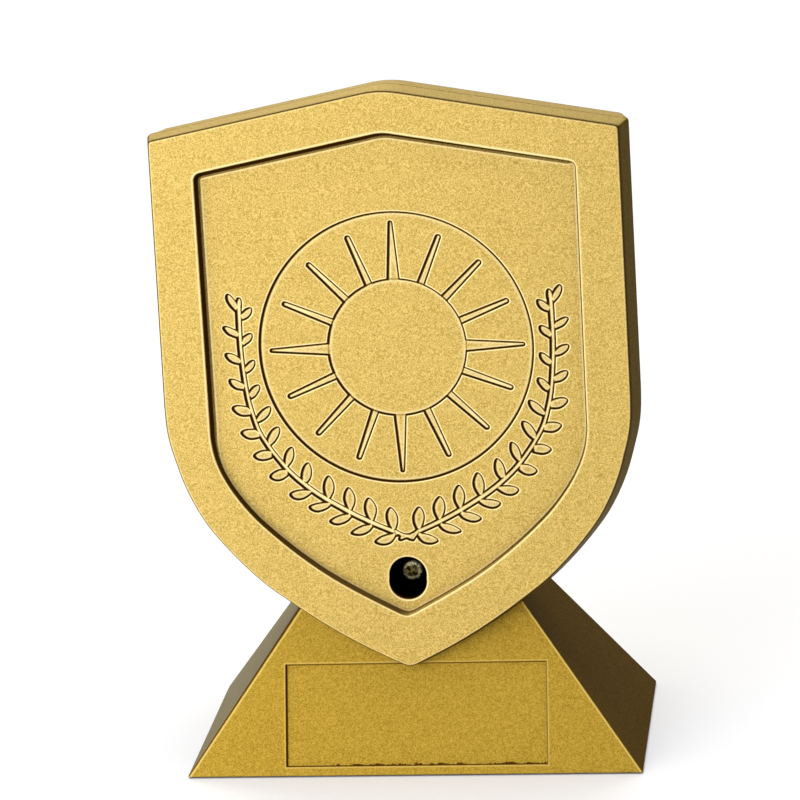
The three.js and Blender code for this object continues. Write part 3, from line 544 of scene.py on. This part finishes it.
def sun_side():
    """The shell with the sun and the wreath, a closed body."""
    b = Build()
    f = build_fields()
    loops = []
    edge = [b.add(outline_at(off, flare), -z, cover) for off, flare, z, cover in ROUND]
    loops.append(edge[0])
    carve(b, loops, f["recess"], 0.0, PANEL, DEEP)
    carve(b, loops, f["ring"], -PANEL, STEP, FINE)
    carve(b, loops, f["sun"], -PANEL - STEP, SUN_STEP, FINE)
    carve(b, loops, f["wreath"], -PANEL, STEP, FINE)
    # mouth of the screw well, and its wall down to the floor
    mouth = max(contour(f["well"][0], 0.0), key=len)
    a = np.arctan2(mouth[:, 1] - 37.4, mouth[:, 0])
    order = np.argsort(a)
    n = 64
    ang = np.arange(n) / n * 2 * math.pi - math.pi
    r = np.interp(ang, a[order], np.hypot(mouth[:, 0], mouth[:, 1] - 37.4)[order], period=2 * math.pi)
    unit = np.stack([np.cos(ang), np.sin(ang)], 1)

    def well(offset, mix):
        radius = (r + offset) * (1 - mix) + (3.9 + offset) * mix
        return unit * radius[:, None] + [0, 37.4]

    # the well's edge has a painted highlight (cover above 1); below it, cover under 0 turns near black: bare plastic
    # with the deep hole's shade painted in
    rings = [b.add(well(0.45, 0), -PANEL, 1.0), b.add(well(0.25, 0), -PANEL, 1.3), b.add(well(0.12, 0), -PANEL - 0.03, 1.25),
             b.add(well(0.04, 0), -PANEL - 0.1, 0.8), b.add(well(0.0, 0), -PANEL - 0.22, 0.2), b.add(well(-0.02, 0.05), -PANEL - 0.6, -0.4),
             b.add(well(-0.03, 0.3), -PANEL - 1.6, -1.0), b.add(well(-0.03, 1), -6.0, -1.0), b.add(well(-0.03, 1), -8.3, -1.0),
             b.add(well(-0.25, 1), -8.5, -1.0)]
    loops.append(rings[0])
    inner = inside_loop(b_points(b, edge[0]))
    hole = inside_loop(b_points(b, rings[0]))
    b.sheet(loops, lambda x, y: inner(x, y) & ~hole(x, y))
    for p, q in zip(rings, rings[1:]):
        b.strip(q, p)
    # floor of the well and the screw's clearance hole
    small = [b.add(circle(0, WELL_V, 1.35, 64)[np.roll(np.arange(64), 32)], z, -1.0) for z in (-8.5, -10.3)]
    b.strip(small[0], rings[-1])
    b.strip(small[1], small[0])
    boss = [b.add(circle(0, WELL_V, 5.3, 64)[np.roll(np.arange(64), 32)], z, 0.0) for z in (-10.3, -SHELL - LAP)]
    b.strip(boss[0], small[1])
    b.strip(boss[1], boss[0])
    # rounded edge of the face, the side wall and the seam
    for p, q in zip(edge, edge[1:]):
        b.strip(p, q)
    rim = inside_loop(b_points(b, edge[-1]))
    mid = inside_loop(b_points(b, boss[1]))
    b.sheet([edge[-1], boss[1]], lambda x, y: rim(x, y) & ~mid(x, y), flip=True)
    return b.object("sun_side_shell")


def b_points(b, loop):
    return np.array([b.points[i][:2] for i in loop])


def plain_side():
    """The other shell, a closed body: a border, a recessed panel, and a plain round seat in it."""
    b = Build()
    x, y = np.meshgrid(GX, GV)
    recess = polygon_distance(RECESS[::2], x, y)
    r = np.hypot(x, y - SUN_V)
    back = -THICK
    loops = []
    edge = [b.add(outline_at(off, flare), back + z, cover) for off, flare, z, cover in ROUND]
    loops.append(edge[0])
    even = np.zeros(x.shape)
    # a painted shadow of even width all round this side's recess
    carve(b, loops, (recess, even + 0.35), 0.0, PANEL, DEEP, -1, back)
    # the seat's and the boss's edges: cover above 1 is a painted highlight along each one
    for field, top in ((r - (SEAT_R + 1.4), -PANEL + 0.9), (SEAT_R - r, -PANEL + 0.9), (np.hypot(x, y - WELL_V) - 5.2, 0.0)):
        for level, height, cover in ((-0.34, top, 1.0), (-0.20, top - 0.03, 1.2), (-0.08, top - 0.12, 1.0), (0.0, top - 0.3, 0.4),
                                     (0.05, -PANEL - 0.02, 0.05), (0.15, -PANEL - 0.02, 0.1), (0.3, -PANEL, 1.1), (0.55, -PANEL, 1.0)):
            for loop in contour(field, level):
                loops.append(b.add(loop, back - height, cover))
    hole = [b.add(circle(0, WELL_V, 1.35, 32), z, 0.0) for z in (back, -10.7)]
    loops.append(hole[0])
    inner, out = inside_loop(b_points(b, edge[0])), inside_loop(b_points(b, hole[0]))
    b.sheet(loops, lambda x, y: inner(x, y) & ~out(x, y), flip=True)
    b.strip(hole[0], hole[1])
    boss = [b.add(circle(0, WELL_V, 5.6, 32), z, 0.0) for z in (-10.7, -SHELL - SEAM + LAP)]
    b.strip(hole[1], boss[0])
    b.strip(boss[0], boss[1])
    for p, q in zip(edge, edge[1:]):
        b.strip(q, p)
    rim, mid = inside_loop(b_points(b, edge[-1])), inside_loop(b_points(b, boss[1]))
    b.sheet([edge[-1], boss[1]], lambda x, y: rim(x, y) & ~mid(x, y))
    return b.object("plain_side_shell")


# ---------------------------------------------------------------------------
# foot
# ---------------------------------------------------------------------------
def loft(loops, name, to_world=None):
    """A closed body through loops of equal length, capped at both ends. loops are lists of (x, y, z) in mm."""
    n = len(loops[0])
    pts = np.vstack(loops)
    pts = to_world(pts) if to_world else pts * MM
    faces = []
    for k in range(len(loops) - 1):
        for i in range(n):
            j = (i + 1) % n
            faces.append((k * n + i, k * n + j, (k + 1) * n + j, (k + 1) * n + i))
    faces.append(tuple(reversed(range(n))))
    faces.append(tuple(range((len(loops) - 1) * n, len(loops) * n)))
    mesh = bpy.data.meshes.new(name)
    mesh.from_pydata(pts.tolist(), [], faces)
    obj = link(mesh, name)
    bm = bmesh.new()
    bm.from_mesh(mesh)
    bmesh.ops.recalc_face_normals(bm, faces=bm.faces)
    bm.to_mesh(mesh)
    bm.free()
    return obj


def rounded_rect(hx, hy, r, z, n=5):
    pts = []
    for cx, cy, a0 in ((hx - r, hy - r, 0), (-hx + r, hy - r, 90), (-hx + r, -hy + r, 180), (hx - r, -hy + r, 270)):
        for k in range(n + 1):
            a = math.radians(a0 + 90 * k / n)
            pts.append((cx + r * math.cos(a), cy + r * math.sin(a), z))
    return np.array(pts)


def boolean(target, cutter, operation="DIFFERENCE"):
    m = target.modifiers.new("cut", "BOOLEAN")
    m.operation, m.object, m.solver = operation, cutter, "EXACT"
    apply(target)
    old = cutter.data
    bpy.data.objects.remove(cutter)
    bpy.data.meshes.remove(old)
    return target


def foot():
    def half(z):
        return FOOT_W / 2 * (1 - z / FOOT_APEX), FOOT_D / 2 * (1 - z / FOOT_APEX)

    loops = []
    for z, inset in ((RIM_Z, 0.25), (RIM_Z + 0.04, 0.11), (RIM_Z + 0.12, 0.03), (RIM_Z + 0.25, 0.0), (12, 0), (24, 0), (36, 0), (FOOT_TOP - 0.5, 0.0), (FOOT_TOP - 0.25, 0.08),
                     (FOOT_TOP - 0.08, 0.24), (FOOT_TOP, 0.5)):
        hx, hy = half(z)
        loops.append(rounded_rect(hx - inset, hy - inset, 0.30, z))
    body = loft(loops, "foot_shell")
    # cavity and the cover's opening
    hx, hy = half(0)
    low = loft([rounded_rect(39.9, 20.7, 0.8, -2), rounded_rect(39.9, 20.7, 0.8, 3.6)], "c1")
    boolean(body, low)
    a, c = half(3.0), half(15.0)
    high = loft([rounded_rect(a[0] - 2.7, a[1] - 2.4, 1.0, 3.0), rounded_rect(c[0] - 2.7, c[1] - 2.4, 1.0, 15.0)], "c2")
    for sx in (-1, 1):
        for sy in (-1, 1):
            p = circle(33 * sx, 13 * sy, 3.2, 24)
            boolean(high, loft([np.column_stack([p, np.full(24, z)]) for z in (2.0, 16.0)], "post"))
    boolean(body, high)
    # pocket that the shield stands in
    n = len(OUTLINE)
    gap = 0.1
    pocket = loft([np.column_stack([outline_at(gap, fl), np.full(n, z)]) for fl, z in
                   ((0, 30.0), (0, 0.0), (1, -SHELL), (1, -SHELL - SEAM), (0, -THICK - gap))], "pocket", world)
    boolean(body, pocket)
    # plate seats in the long slopes, with a small chamfer round each
    for turn in (0, 1):
        hw, hh = PLATE_W / 2 + 0.1, PLATE_H / 2 + 0.1
        pts = [rounded_rect(hw, hh, 0.12, -PLATE_DEPTH), rounded_rect(hw, hh, 0.12, -0.10), rounded_rect(hw + 0.12, hh + 0.12, 0.2, 0.04), rounded_rect(hw + 0.12, hh + 0.12, 0.2, 1.0)]
        m = Matrix.Translation((0, (-24 + SEAT_MID * math.cos(SLOPE)) * MM, SEAT_MID * math.sin(SLOPE) * MM)) @ Matrix.Rotation(SLOPE, 4, "X")
        if turn:
            m = Matrix.Rotation(math.pi, 4, "Z") @ m
        seat = loft(pts, "seat")
        seat.data.transform(Matrix.Translation((SEAT_X * MM, 0, 0)) @ m)
        boolean(body, seat)
    return body


# ---------------------------------------------------------------------------
# fixing screw
# ---------------------------------------------------------------------------
def lathe(profile, name, n=40):
    loops = []
    a = np.arange(n) / n * 2 * math.pi
    for r, z in profile:
        loops.append(np.stack([r * np.cos(a), r * np.sin(a), np.full(n, z)], 1))
    return loft(loops, name)


def screw():
    head = [(0.3, -14.5), (0.95, -13.0)]
    z = -13.0
    while z < -1.9:                      # thread crests and roots
        head += [(0.82, z + 0.1), (1.0, z + 0.3), (1.0, z + 0.38), (0.82, z + 0.58)]
        z += 0.75
    head += [(0.9, -1.3), (1.0, -1.12), (1.80, -1.1), (1.90, -1.02), (1.94, -0.85), (1.94, -0.30), (1.91, -0.12), (1.82, 0.02), (1.62, 0.13), (1.30, 0.22), (0.9, 0.29), (0.5, 0.32), (0.02, 0.33)]
    obj = lathe(head, "well_screw")
    for a in (45, -45):
        w0, w1, l0, l1 = 0.26, 0.42, 0.90, 1.36
        bar = loft([np.array([(-l0, -w0, -0.80), (l0, -w0, -0.80), (l0, w0, -0.80), (-l0, w0, -0.80)]),
                    np.array([(-l1, -w1, 0.6), (l1, -w1, 0.6), (l1, w1, 0.6), (-l1, w1, 0.6)])], "bar")
        bar.data.transform(Matrix.Rotation(math.radians(a + 8), 4, "Z"))
        boolean(obj, bar)
    co = np.array([v.co for v in obj.data.vertices]) / MM
    co[:, 0] += SCREW_X
    co[:, 1] += WELL_V + SCREW_V
    co[:, 2] += -8.5 + 0.3 + 1.1
    obj.data.vertices.foreach_set("co", world(co).astype(np.float32).ravel())
    obj.data.update()
    return obj


# ---------------------------------------------------------------------------
# materials
# ---------------------------------------------------------------------------
class Nodes:
    def __init__(self, name):
        self.mat = bpy.data.materials.new(name)
        self.mat.use_nodes = True
        self.tree = self.mat.node_tree
        self.tree.nodes.clear()
        self.out = self.node("ShaderNodeOutputMaterial")
        self.bsdf = self.node("ShaderNodeBsdfPrincipled")
        self.link(self.bsdf.outputs[0], self.out.inputs[0])
        self.coords = self.node("ShaderNodeTexCoord")

    def node(self, kind, **values):
        n = self.tree.nodes.new(kind)
        for k, v in values.items():
            setattr(n, k, v)
        return n

    def link(self, a, b):
        self.tree.links.new(a, b)

    def put(self, socket, value):
        if hasattr(value, "is_output"):
            self.link(value, socket)
        else:
            socket.default_value = value

    def math(self, op, a, b=None, clamp=False):
        n = self.node("ShaderNodeMath", operation=op, use_clamp=clamp)
        self.put(n.inputs[0], a)
        if b is not None:
            self.put(n.inputs[1], b)
        return n.outputs[0]

    def remap(self, value, a, b, c=0.0, d=1.0, smooth=False):
        n = self.node("ShaderNodeMapRange", interpolation_type="SMOOTHSTEP" if smooth else "LINEAR")
        self.put(n.inputs[0], value)
        for k, v in zip((1, 2, 3, 4), (a, b, c, d)):
            self.put(n.inputs[k], v)
        return n.outputs[0]

    def noise(self, scale, detail=2.0, rough=0.5, vector=None, kind="FBM"):
        n = self.node("ShaderNodeTexNoise")
        n.inputs["Scale"].default_value = scale
        n.inputs["Detail"].default_value = detail
        n.inputs["Roughness"].default_value = rough
        self.link(vector or self.coords.outputs["Object"], n.inputs["Vector"])
        return n.outputs["Fac"]

    def mix(self, fac, a, b, blend="MIX"):
        n = self.node("ShaderNodeMix", data_type="RGBA", blend_type=blend)
        self.put(n.inputs[0], fac)
        self.put(n.inputs[6], a)
        self.put(n.inputs[7], b)
        return n.outputs[2]

    def bump(self, height, distance, strength=1.0, normal=None):
        n = self.node("ShaderNodeBump")
        n.inputs["Strength"].default_value = strength
        n.inputs["Distance"].default_value = distance
        self.link(height, n.inputs["Height"])
        if normal:
            self.link(normal, n.inputs["Normal"])
        return n.outputs[0]

    def set(self, **values):
        for k, v in values.items():
            self.put(self.bsdf.inputs[k.replace("_", " ")], v)


def gold_paint(name, dull, bright, painted_highlight, bare, foot):
    """Metallic paint sprayed on black plastic, from the front and the back, so that it is thin on the walls."""
    m = Nodes(name)
    n = m.node("ShaderNodeSeparateXYZ")
    m.link(m.coords.outputs["Normal"], n.inputs[0])
    grain = m.noise(2600, 2.0, 0.55)
    front = m.remap(m.math("ABSOLUTE", n.outputs[1]), 0.26, 0.86, 0.0, 1.0, smooth=True)
    above = m.remap(n.outputs[2], 0.66, 0.92, 0.0, 0.74, smooth=True)
    spray = m.math("ADD", m.math("MAXIMUM", front, above), m.math("MULTIPLY", m.math("SUBTRACT", grain, 0.5), 0.10), clamp=True)
    black = None
    if foot:
        coat = m.math("MULTIPLY", seat_cover(m), edge_cover(m, n.outputs[1]))
    else:
        attribute = m.node("ShaderNodeAttribute", attribute_name="cover").outputs["Fac"]
        black = m.math("MULTIPLY", attribute, -1.0, clamp=True)
        coat = m.math("MULTIPLY", m.math("MAXIMUM", attribute, 0.0), disc_cover(m))
    cover = m.math("MULTIPLY", spray, coat)
    # speckle of the metallic paint, and slow cloudy differences
    fine = m.noise(3900, 3.0, 0.70)
    blotch = m.noise(1500, 2.0, 0.6)
    cloud = m.noise(45, 2.0, 0.5)
    tone = m.math("ADD", m.math("MULTIPLY", m.math("SUBTRACT", fine, 0.5), 3.9), m.math("MULTIPLY", m.math("SUBTRACT", blotch, 0.5), 0.9))
    tone = m.math("ADD", tone, m.math("MULTIPLY", m.math("SUBTRACT", cloud, 0.5), 0.16))
    tone = m.math("ADD", tone, 0.5, clamp=True)
    gold = m.mix(tone, dull, bright)
    # painted highlight: cover above 1 blends the gold towards the highlight colour, for the light lines along edges
    gold = m.mix(m.remap(cover, 1.0, 1.3), gold, painted_highlight)
    wall = m.mix(m.remap(grain, 0.35, 0.68), (0.072, 0.044, 0.0024, 1), (0.122, 0.074, 0.0048, 1))
    if foot:                             # painted sheen: the slope on the left, towards the key light, gets a lighter, greyer wall colour than the one on the right
        wall = m.mix(m.remap(grain, 0.35, 0.68), (0.062, 0.033, 0.0008, 1), (0.100, 0.054, 0.0014, 1))
        painted_left_sheen = m.mix(m.remap(grain, 0.35, 0.68), (0.150, 0.120, 0.046, 1), (0.225, 0.185, 0.080, 1))
        wall = m.mix(m.remap(n.outputs[0], -0.70, -0.40, 1.0, 0.0), wall, painted_left_sheen)
    thin = m.mix(m.remap(coat, 0.0, 1.0), bare, wall)
    # cover below 0, inside the screw well: near black, darker than the bare plastic, as painted shade of the deep hole
    if black:
        thin = m.mix(black, thin, (0.0008, 0.0008, 0.0010, 1))
    colour = m.mix(m.remap(cover, 0.0, 1.0), thin, gold)
    m.set(Base_Color=colour, Metallic=m.remap(cover, 0, 1, 0.0, 0.62), Roughness=m.remap(cover, 0, 1, 0.36, 0.48))
    m.bsdf.inputs["Specular IOR Level"].default_value = 0.003
    height = m.math("ADD", fine, m.math("MULTIPLY", blotch, 0.8))
    m.set(Normal=m.bump(height, 0.00003, 0.5))
    return m.mat


def seat_cover(m):
    """Cover round the plate seats: thin along their left and lower edges, with a painted highlight just outside them.
    """
    p = m.node("ShaderNodeSeparateXYZ")
    m.link(m.coords.outputs["Object"], p.inputs[0])
    x, y, z = p.outputs
    cs, sn = math.cos(SLOPE), math.sin(SLOPE)
    x = m.math("SUBTRACT", x, SEAT_X * MM)
    hw, hh = (PLATE_W / 2 + 0.1) * MM, (PLATE_H / 2 + 0.1) * MM
    inward = m.math("SUBTRACT", FOOT_D / 2 * MM, m.math("ABSOLUTE", y))
    up = m.math("SUBTRACT", m.math("ADD", m.math("MULTIPLY", inward, cs), m.math("MULTIPLY", z, sn)), SEAT_MID * MM)
    depth = m.math("SUBTRACT", m.math("MULTIPLY", inward, sn), m.math("MULTIPLY", z, cs))
    left = m.math("ADD", x, hw)
    right = m.math("SUBTRACT", hw, x)
    top = m.math("SUBTRACT", hh, up)
    low = m.math("ADD", up, hh)
    chips = m.noise(520, 4.0, 0.78)
    width = m.math("MULTIPLY", m.remap(chips, 0.44, 0.62, 0.10 * MM, 0.58 * MM), m.remap(x, -0.0176, -0.0160))
    wear = m.remap(chips, 0.35, 0.60, 0.86, 1.0)
    bare = m.remap(left, 0.20 * MM, 0.34 * MM, 1, 0)
    for part in (m.remap(right, 0.06 * MM, 0.20 * MM, 0.62, 0), m.remap(top, 0.10 * MM, 0.22 * MM, 0.70, 0),
                 m.math("MULTIPLY", m.remap(low, 0.12 * MM, 0.21 * MM, 1, 0), wear), m.math("LESS_THAN", low, width)):
        bare = m.math("MAXIMUM", bare, part)
    edge = m.math("MAXIMUM", m.math("SUBTRACT", m.math("ABSOLUTE", x), hw), m.math("SUBTRACT", m.math("ABSOLUTE", up), hh))
    inside = m.math("MULTIPLY", m.remap(depth, 0.06 * MM, 0.16 * MM), m.math("LESS_THAN", edge, 0.06 * MM))
    # painted highlight: a light line on the seat's edge, just outside it
    lip_highlight = m.math("MULTIPLY", m.remap(edge, 0.05 * MM, 0.16 * MM), m.remap(edge, 0.26 * MM, 0.44 * MM, 1, 0))
    lip_highlight = m.math("MULTIPLY", lip_highlight, m.math("SUBTRACT", 1.0, inside))
    return m.math("ADD", m.math("SUBTRACT", 1.0, m.math("MULTIPLY", bare, inside)), m.math("MULTIPLY", lip_highlight, 0.14))


def edge_cover(m, facing):
    """Cover along the long slopes' edges: a dark line along the left one, wider towards the top, with a painted
    highlight just inside it, and a painted highlight along the right one.
    """
    p = m.node("ShaderNodeSeparateXYZ")
    m.link(m.coords.outputs["Object"], p.inputs[0])
    x, z = p.outputs[0], p.outputs[2]
    reach = m.math("MULTIPLY", m.math("SUBTRACT", 1.0, m.math("DIVIDE", z, FOOT_APEX * MM)), FOOT_W / 2 * MM)
    left = m.math("MULTIPLY", m.math("ADD", reach, x), 0.8266)
    right = m.math("MULTIPLY", m.math("SUBTRACT", reach, x), 0.8266)
    bare_to = m.math("ADD", m.math("MULTIPLY", z, 0.009), 0.10 * MM)
    inner = m.math("SUBTRACT", left, bare_to)
    bare = m.math("MULTIPLY", m.remap(inner, 0.0, 0.14 * MM, 1, 0), m.remap(m.math("ABSOLUTE", facing), 0.10, 0.30))
    # painted highlight: a light line just inside the left edge's dark line, and one along the right edge
    edge_highlight = m.math("MULTIPLY", m.remap(inner, 0.12 * MM, 0.24 * MM), m.remap(inner, 0.34 * MM, 0.60 * MM, 1, 0))
    edge_highlight = m.math("MAXIMUM", edge_highlight, m.math("MULTIPLY", m.remap(right, 0.10 * MM, 0.20 * MM), m.remap(right, 0.32 * MM, 0.55 * MM, 1, 0)))
    return m.math("SUBTRACT", m.math("ADD", 1.0, m.math("MULTIPLY", edge_highlight, 0.26)), m.math("MULTIPLY", bare, 0.97))


def from_sun(m, u, v):
    """Distances across and up the shield from a point of its face."""
    p = m.node("ShaderNodeSeparateXYZ")
    m.link(m.coords.outputs["Object"], p.inputs[0])
    x, y, z = p.outputs
    across = m.math("SUBTRACT", x, u * MM)
    height = m.math("ADD", m.math("MULTIPLY", m.math("ADD", y, 20 * MM), CT), m.math("MULTIPLY", z, ST))
    return across, m.math("SUBTRACT", height, v * MM)


def disc_cover(m):
    """A line of thin paint along the disc's edge, across the roots of the rays."""
    a, b = from_sun(m, SUN_X, SUN_V)
    r = m.math("SQRT", m.math("ADD", m.math("MULTIPLY", a, a), m.math("MULTIPLY", b, b)))
    line = m.remap(m.math("ABSOLUTE", m.math("SUBTRACT", r, (DISC_R + 0.02) * MM)), 0.09 * MM, 0.20 * MM, 1, 0)
    least = m.math("MINIMUM", m.math("ABSOLUTE", a), m.math("ABSOLUTE", b))
    share = m.remap(least, 1.20 * MM, 1.30 * MM, 0.45, 0.94)
    p = m.node("ShaderNodeSeparateXYZ")
    m.link(m.coords.outputs["Object"], p.inputs[0])
    near = m.remap(p.outputs[1], -0.0095, -0.0085, 1, 0)
    return m.math("SUBTRACT", 1.0, m.math("MULTIPLY", m.math("MULTIPLY", line, share), near))


def screw_steel_with_highlight():
    """The fixing screw: darker in the middle of its head, and lighter round the rim as a painted highlight."""
    m = Nodes("screw_steel_with_highlight")
    a, b = from_sun(m, SCREW_X, WELL_V + SCREW_V)
    r = m.math("SQRT", m.math("ADD", m.math("MULTIPLY", a, a), m.math("MULTIPLY", b, b)))
    n = m.noise(1700, 3.0, 0.65)
    spots = m.noise(900, 2.0, 0.6)
    # painted highlight: the head grows lighter towards its rim, with light spots from the noise
    rim = m.remap(m.math("ADD", r, m.math("MULTIPLY", m.math("SUBTRACT", spots, 0.5), 0.0012)), 0.00085, 0.00165, 0.0, 1.0, smooth=True)
    dark = m.mix(m.remap(n, 0.40, 0.60), (0.020, 0.014, 0.002, 1), (0.190, 0.140, 0.022, 1))
    light = m.mix(m.remap(n, 0.42, 0.62), (0.12, 0.10, 0.03, 1), (1.00, 0.90, 0.55, 1))
    m.set(Base_Color=m.mix(rim, dark, light), Metallic=0.75, Roughness=m.remap(n, 0.3, 0.7, 0.28, 0.50))
    m.set(Normal=m.bump(n, 0.00004, 0.5))
    return m.mat


def plated_steel():
    m = Nodes("plated_steel")
    n = m.noise(1500, 3.0, 0.6)
    worn = m.noise(420, 2.0, 0.6)
    colour = m.mix(n, (0.30, 0.235, 0.10, 1), (0.68, 0.58, 0.34, 1))
    colour = m.mix(m.remap(worn, 0.5, 0.7), colour, (0.16, 0.12, 0.06, 1))
    m.set(Base_Color=colour, Metallic=0.8, Roughness=m.remap(n, 0.3, 0.7, 0.35, 0.6))
    m.set(Normal=m.bump(n, 0.00003, 0.4))
    return m.mat


def cast_iron():
    m = Nodes("cast_iron")
    n = m.noise(500, 5.0, 0.65)
    m.set(Base_Color=m.mix(n, (0.05, 0.045, 0.04, 1), (0.16, 0.14, 0.13, 1)), Metallic=0.7, Roughness=m.remap(n, 0.3, 0.7, 0.55, 0.85))
    m.set(Normal=m.bump(n, 0.0003, 0.8))
    return m.mat


def moulded_black():
    m = Nodes("moulded_black")
    n = m.noise(2200, 3.0, 0.6)
    m.set(Base_Color=m.mix(n, (0.010, 0.010, 0.010, 1), (0.028, 0.027, 0.026, 1)), Roughness=m.remap(n, 0.3, 0.7, 0.42, 0.62))
    m.set(Normal=m.bump(n, 0.00006, 0.6))
    return m.mat


def felt_cloth():
    m = Nodes("felt_cloth")
    fibre = m.noise(2600, 6.0, 0.75)
    tuft = m.noise(420, 3.0, 0.6)
    m.set(Base_Color=m.mix(fibre, (0.006, 0.006, 0.006, 1), (0.045, 0.044, 0.043, 1)), Roughness=0.95)
    m.bsdf.inputs["Sheen Weight"].default_value = 0.6
    m.bsdf.inputs["Sheen Roughness"].default_value = 0.5
    h = m.math("ADD", fibre, m.math("MULTIPLY", tuft, 0.8))
    m.set(Normal=m.bump(h, 0.0003, 0.9))
    return m.mat


def dress(obj, mat):
    obj.data.materials.clear()
    obj.data.materials.append(mat)
    return obj


GOLD = gold_paint("gold_paint_shield", (0.438, 0.290, 0.054, 1), (0.805, 0.588, 0.186, 1), (0.98, 0.81, 0.41, 1), (0.042, 0.014, 0.0014, 1), False)
# the foot's gold is the shield's made about a third darker: painted shade for its slopes, which face up, away from the
# light
GOLD_FOOT = gold_paint("gold_paint_foot", (0.300, 0.181, 0.0155, 1), (0.550, 0.360, 0.050, 1), (0.74, 0.53, 0.15, 1), (0.100, 0.042, 0.0040, 1), True)
STEEL, IRON, BLACK, FELT, SCREW_WITH_HIGHLIGHT = plated_steel(), cast_iron(), moulded_black(), felt_cloth(), screw_steel_with_highlight()

sun = dress(tidy(clean(sun_side()), 45, recalc=False), GOLD)
plain = dress(tidy(clean(plain_side()), 45, recalc=False), GOLD)
base = dress(tidy(foot(), 32), GOLD_FOOT)
fixing = dress(tidy(screw(), 40), SCREW_WITH_HIGHLIGHT)
for piece, node, slot in ((sun, "shield_back_shell", "gold_paint"), (plain, "shield_front_shell", "gold_paint"),
                          (base, "base_shell", "gold_paint"), (fixing, "shield_fixing_screw", "screw_steel")):
    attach(piece, "root")
    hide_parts(node)

for node, mat in (("base_cover", BLACK), ("base_weight", IRON), ("felt_pad", FELT), ("cover_screw_1", STEEL),
                  ("cover_screw_2", STEEL), ("cover_screw_3", STEEL), ("cover_screw_4", STEEL)):
    o = frame["nodes"][node]
    o.data.materials.clear()
    o.data.materials.append(mat)

# ---------------------------------------------------------------------------
# floor, light and camera
# ---------------------------------------------------------------------------
bpy.ops.mesh.primitive_plane_add(size=8, location=(0, 0, 0))
floor = bpy.context.object
floor.name = "floor"
m = Nodes("floor_white")
m.set(Base_Color=m.mix(m.noise(3, 2, 0.5), (0.92, 0.92, 0.92, 1), (0.94, 0.94, 0.94, 1)), Roughness=0.75)
m.bsdf.inputs["Specular IOR Level"].default_value = 0.1
dress(floor, m.mat)

scene = bpy.context.scene
scene.view_settings.view_transform = "Standard"
scene.view_settings.look = "None"
w = bpy.data.worlds.new("studio")
w.use_nodes = True
w.node_tree.nodes["Background"].inputs[0].default_value = (1, 1, 1, 1)
w.node_tree.nodes["Background"].inputs[1].default_value = 0.45
scene.world = w


def area(name, at, to, size, watts, colour=(1, 1, 1)):
    l = bpy.data.lights.new(name, "AREA")
    l.shape, l.size, l.energy, l.color = "DISK", size, watts, colour
    o = bpy.data.objects.new(name, l)
    o.location = at
    o.rotation_mode = "QUATERNION"
    o.rotation_quaternion = (Vector(to) - Vector(at)).to_track_quat("-Z", "Y")
    scene.collection.objects.link(o)
    return o


area("key", (-0.42, -0.58, 0.36), (0, 0, 0.06), 0.80, 2.85, (0.98, 0.985, 1.07))
area("fill", (-0.45, -1.10, 0.10), (0, 0, 0.06), 0.60, 1.9)
area("top", (0, -0.05, 1.55), (0, 0, 0.05), 1.0, 11)
area("behind", (-0.30, 1.15, 1.15), (0, 0.2, 0.0), 0.9, 7)

FIT_YAW, FIT_EL, ROLL = 7.978809, 16.388788, -3.676300
SIDE_SHIFT = 0.35
target = np.array([-1.110771 + SIDE_SHIFT, 20.0 - 24.0, 68.936096])
yaw, el, roll = map(math.radians, (FIT_YAW, FIT_EL, ROLL))
away = np.array([math.sin(yaw) * math.cos(el), -math.cos(yaw) * math.cos(el), math.sin(el)])
spot = target + 684.874644 * away
look = -away
right = np.cross(look, [0, 0, 1])
right /= np.linalg.norm(right)
up = np.cross(right, look)
right, up = math.cos(roll) * right + math.sin(roll) * up, -math.sin(roll) * right + math.cos(roll) * up
cam = bpy.data.objects.new("camera", bpy.data.cameras.new("camera"))
cam.data.lens, cam.data.sensor_width = 162.0, 36.0
cam.data.clip_start, cam.data.clip_end = 0.01, 50
basis = Matrix((right, up, -look)).transposed().to_4x4()
cam.matrix_world = Matrix.Translation(Vector(spot * MM)) @ basis
scene.collection.objects.link(cam)
scene.camera = cam
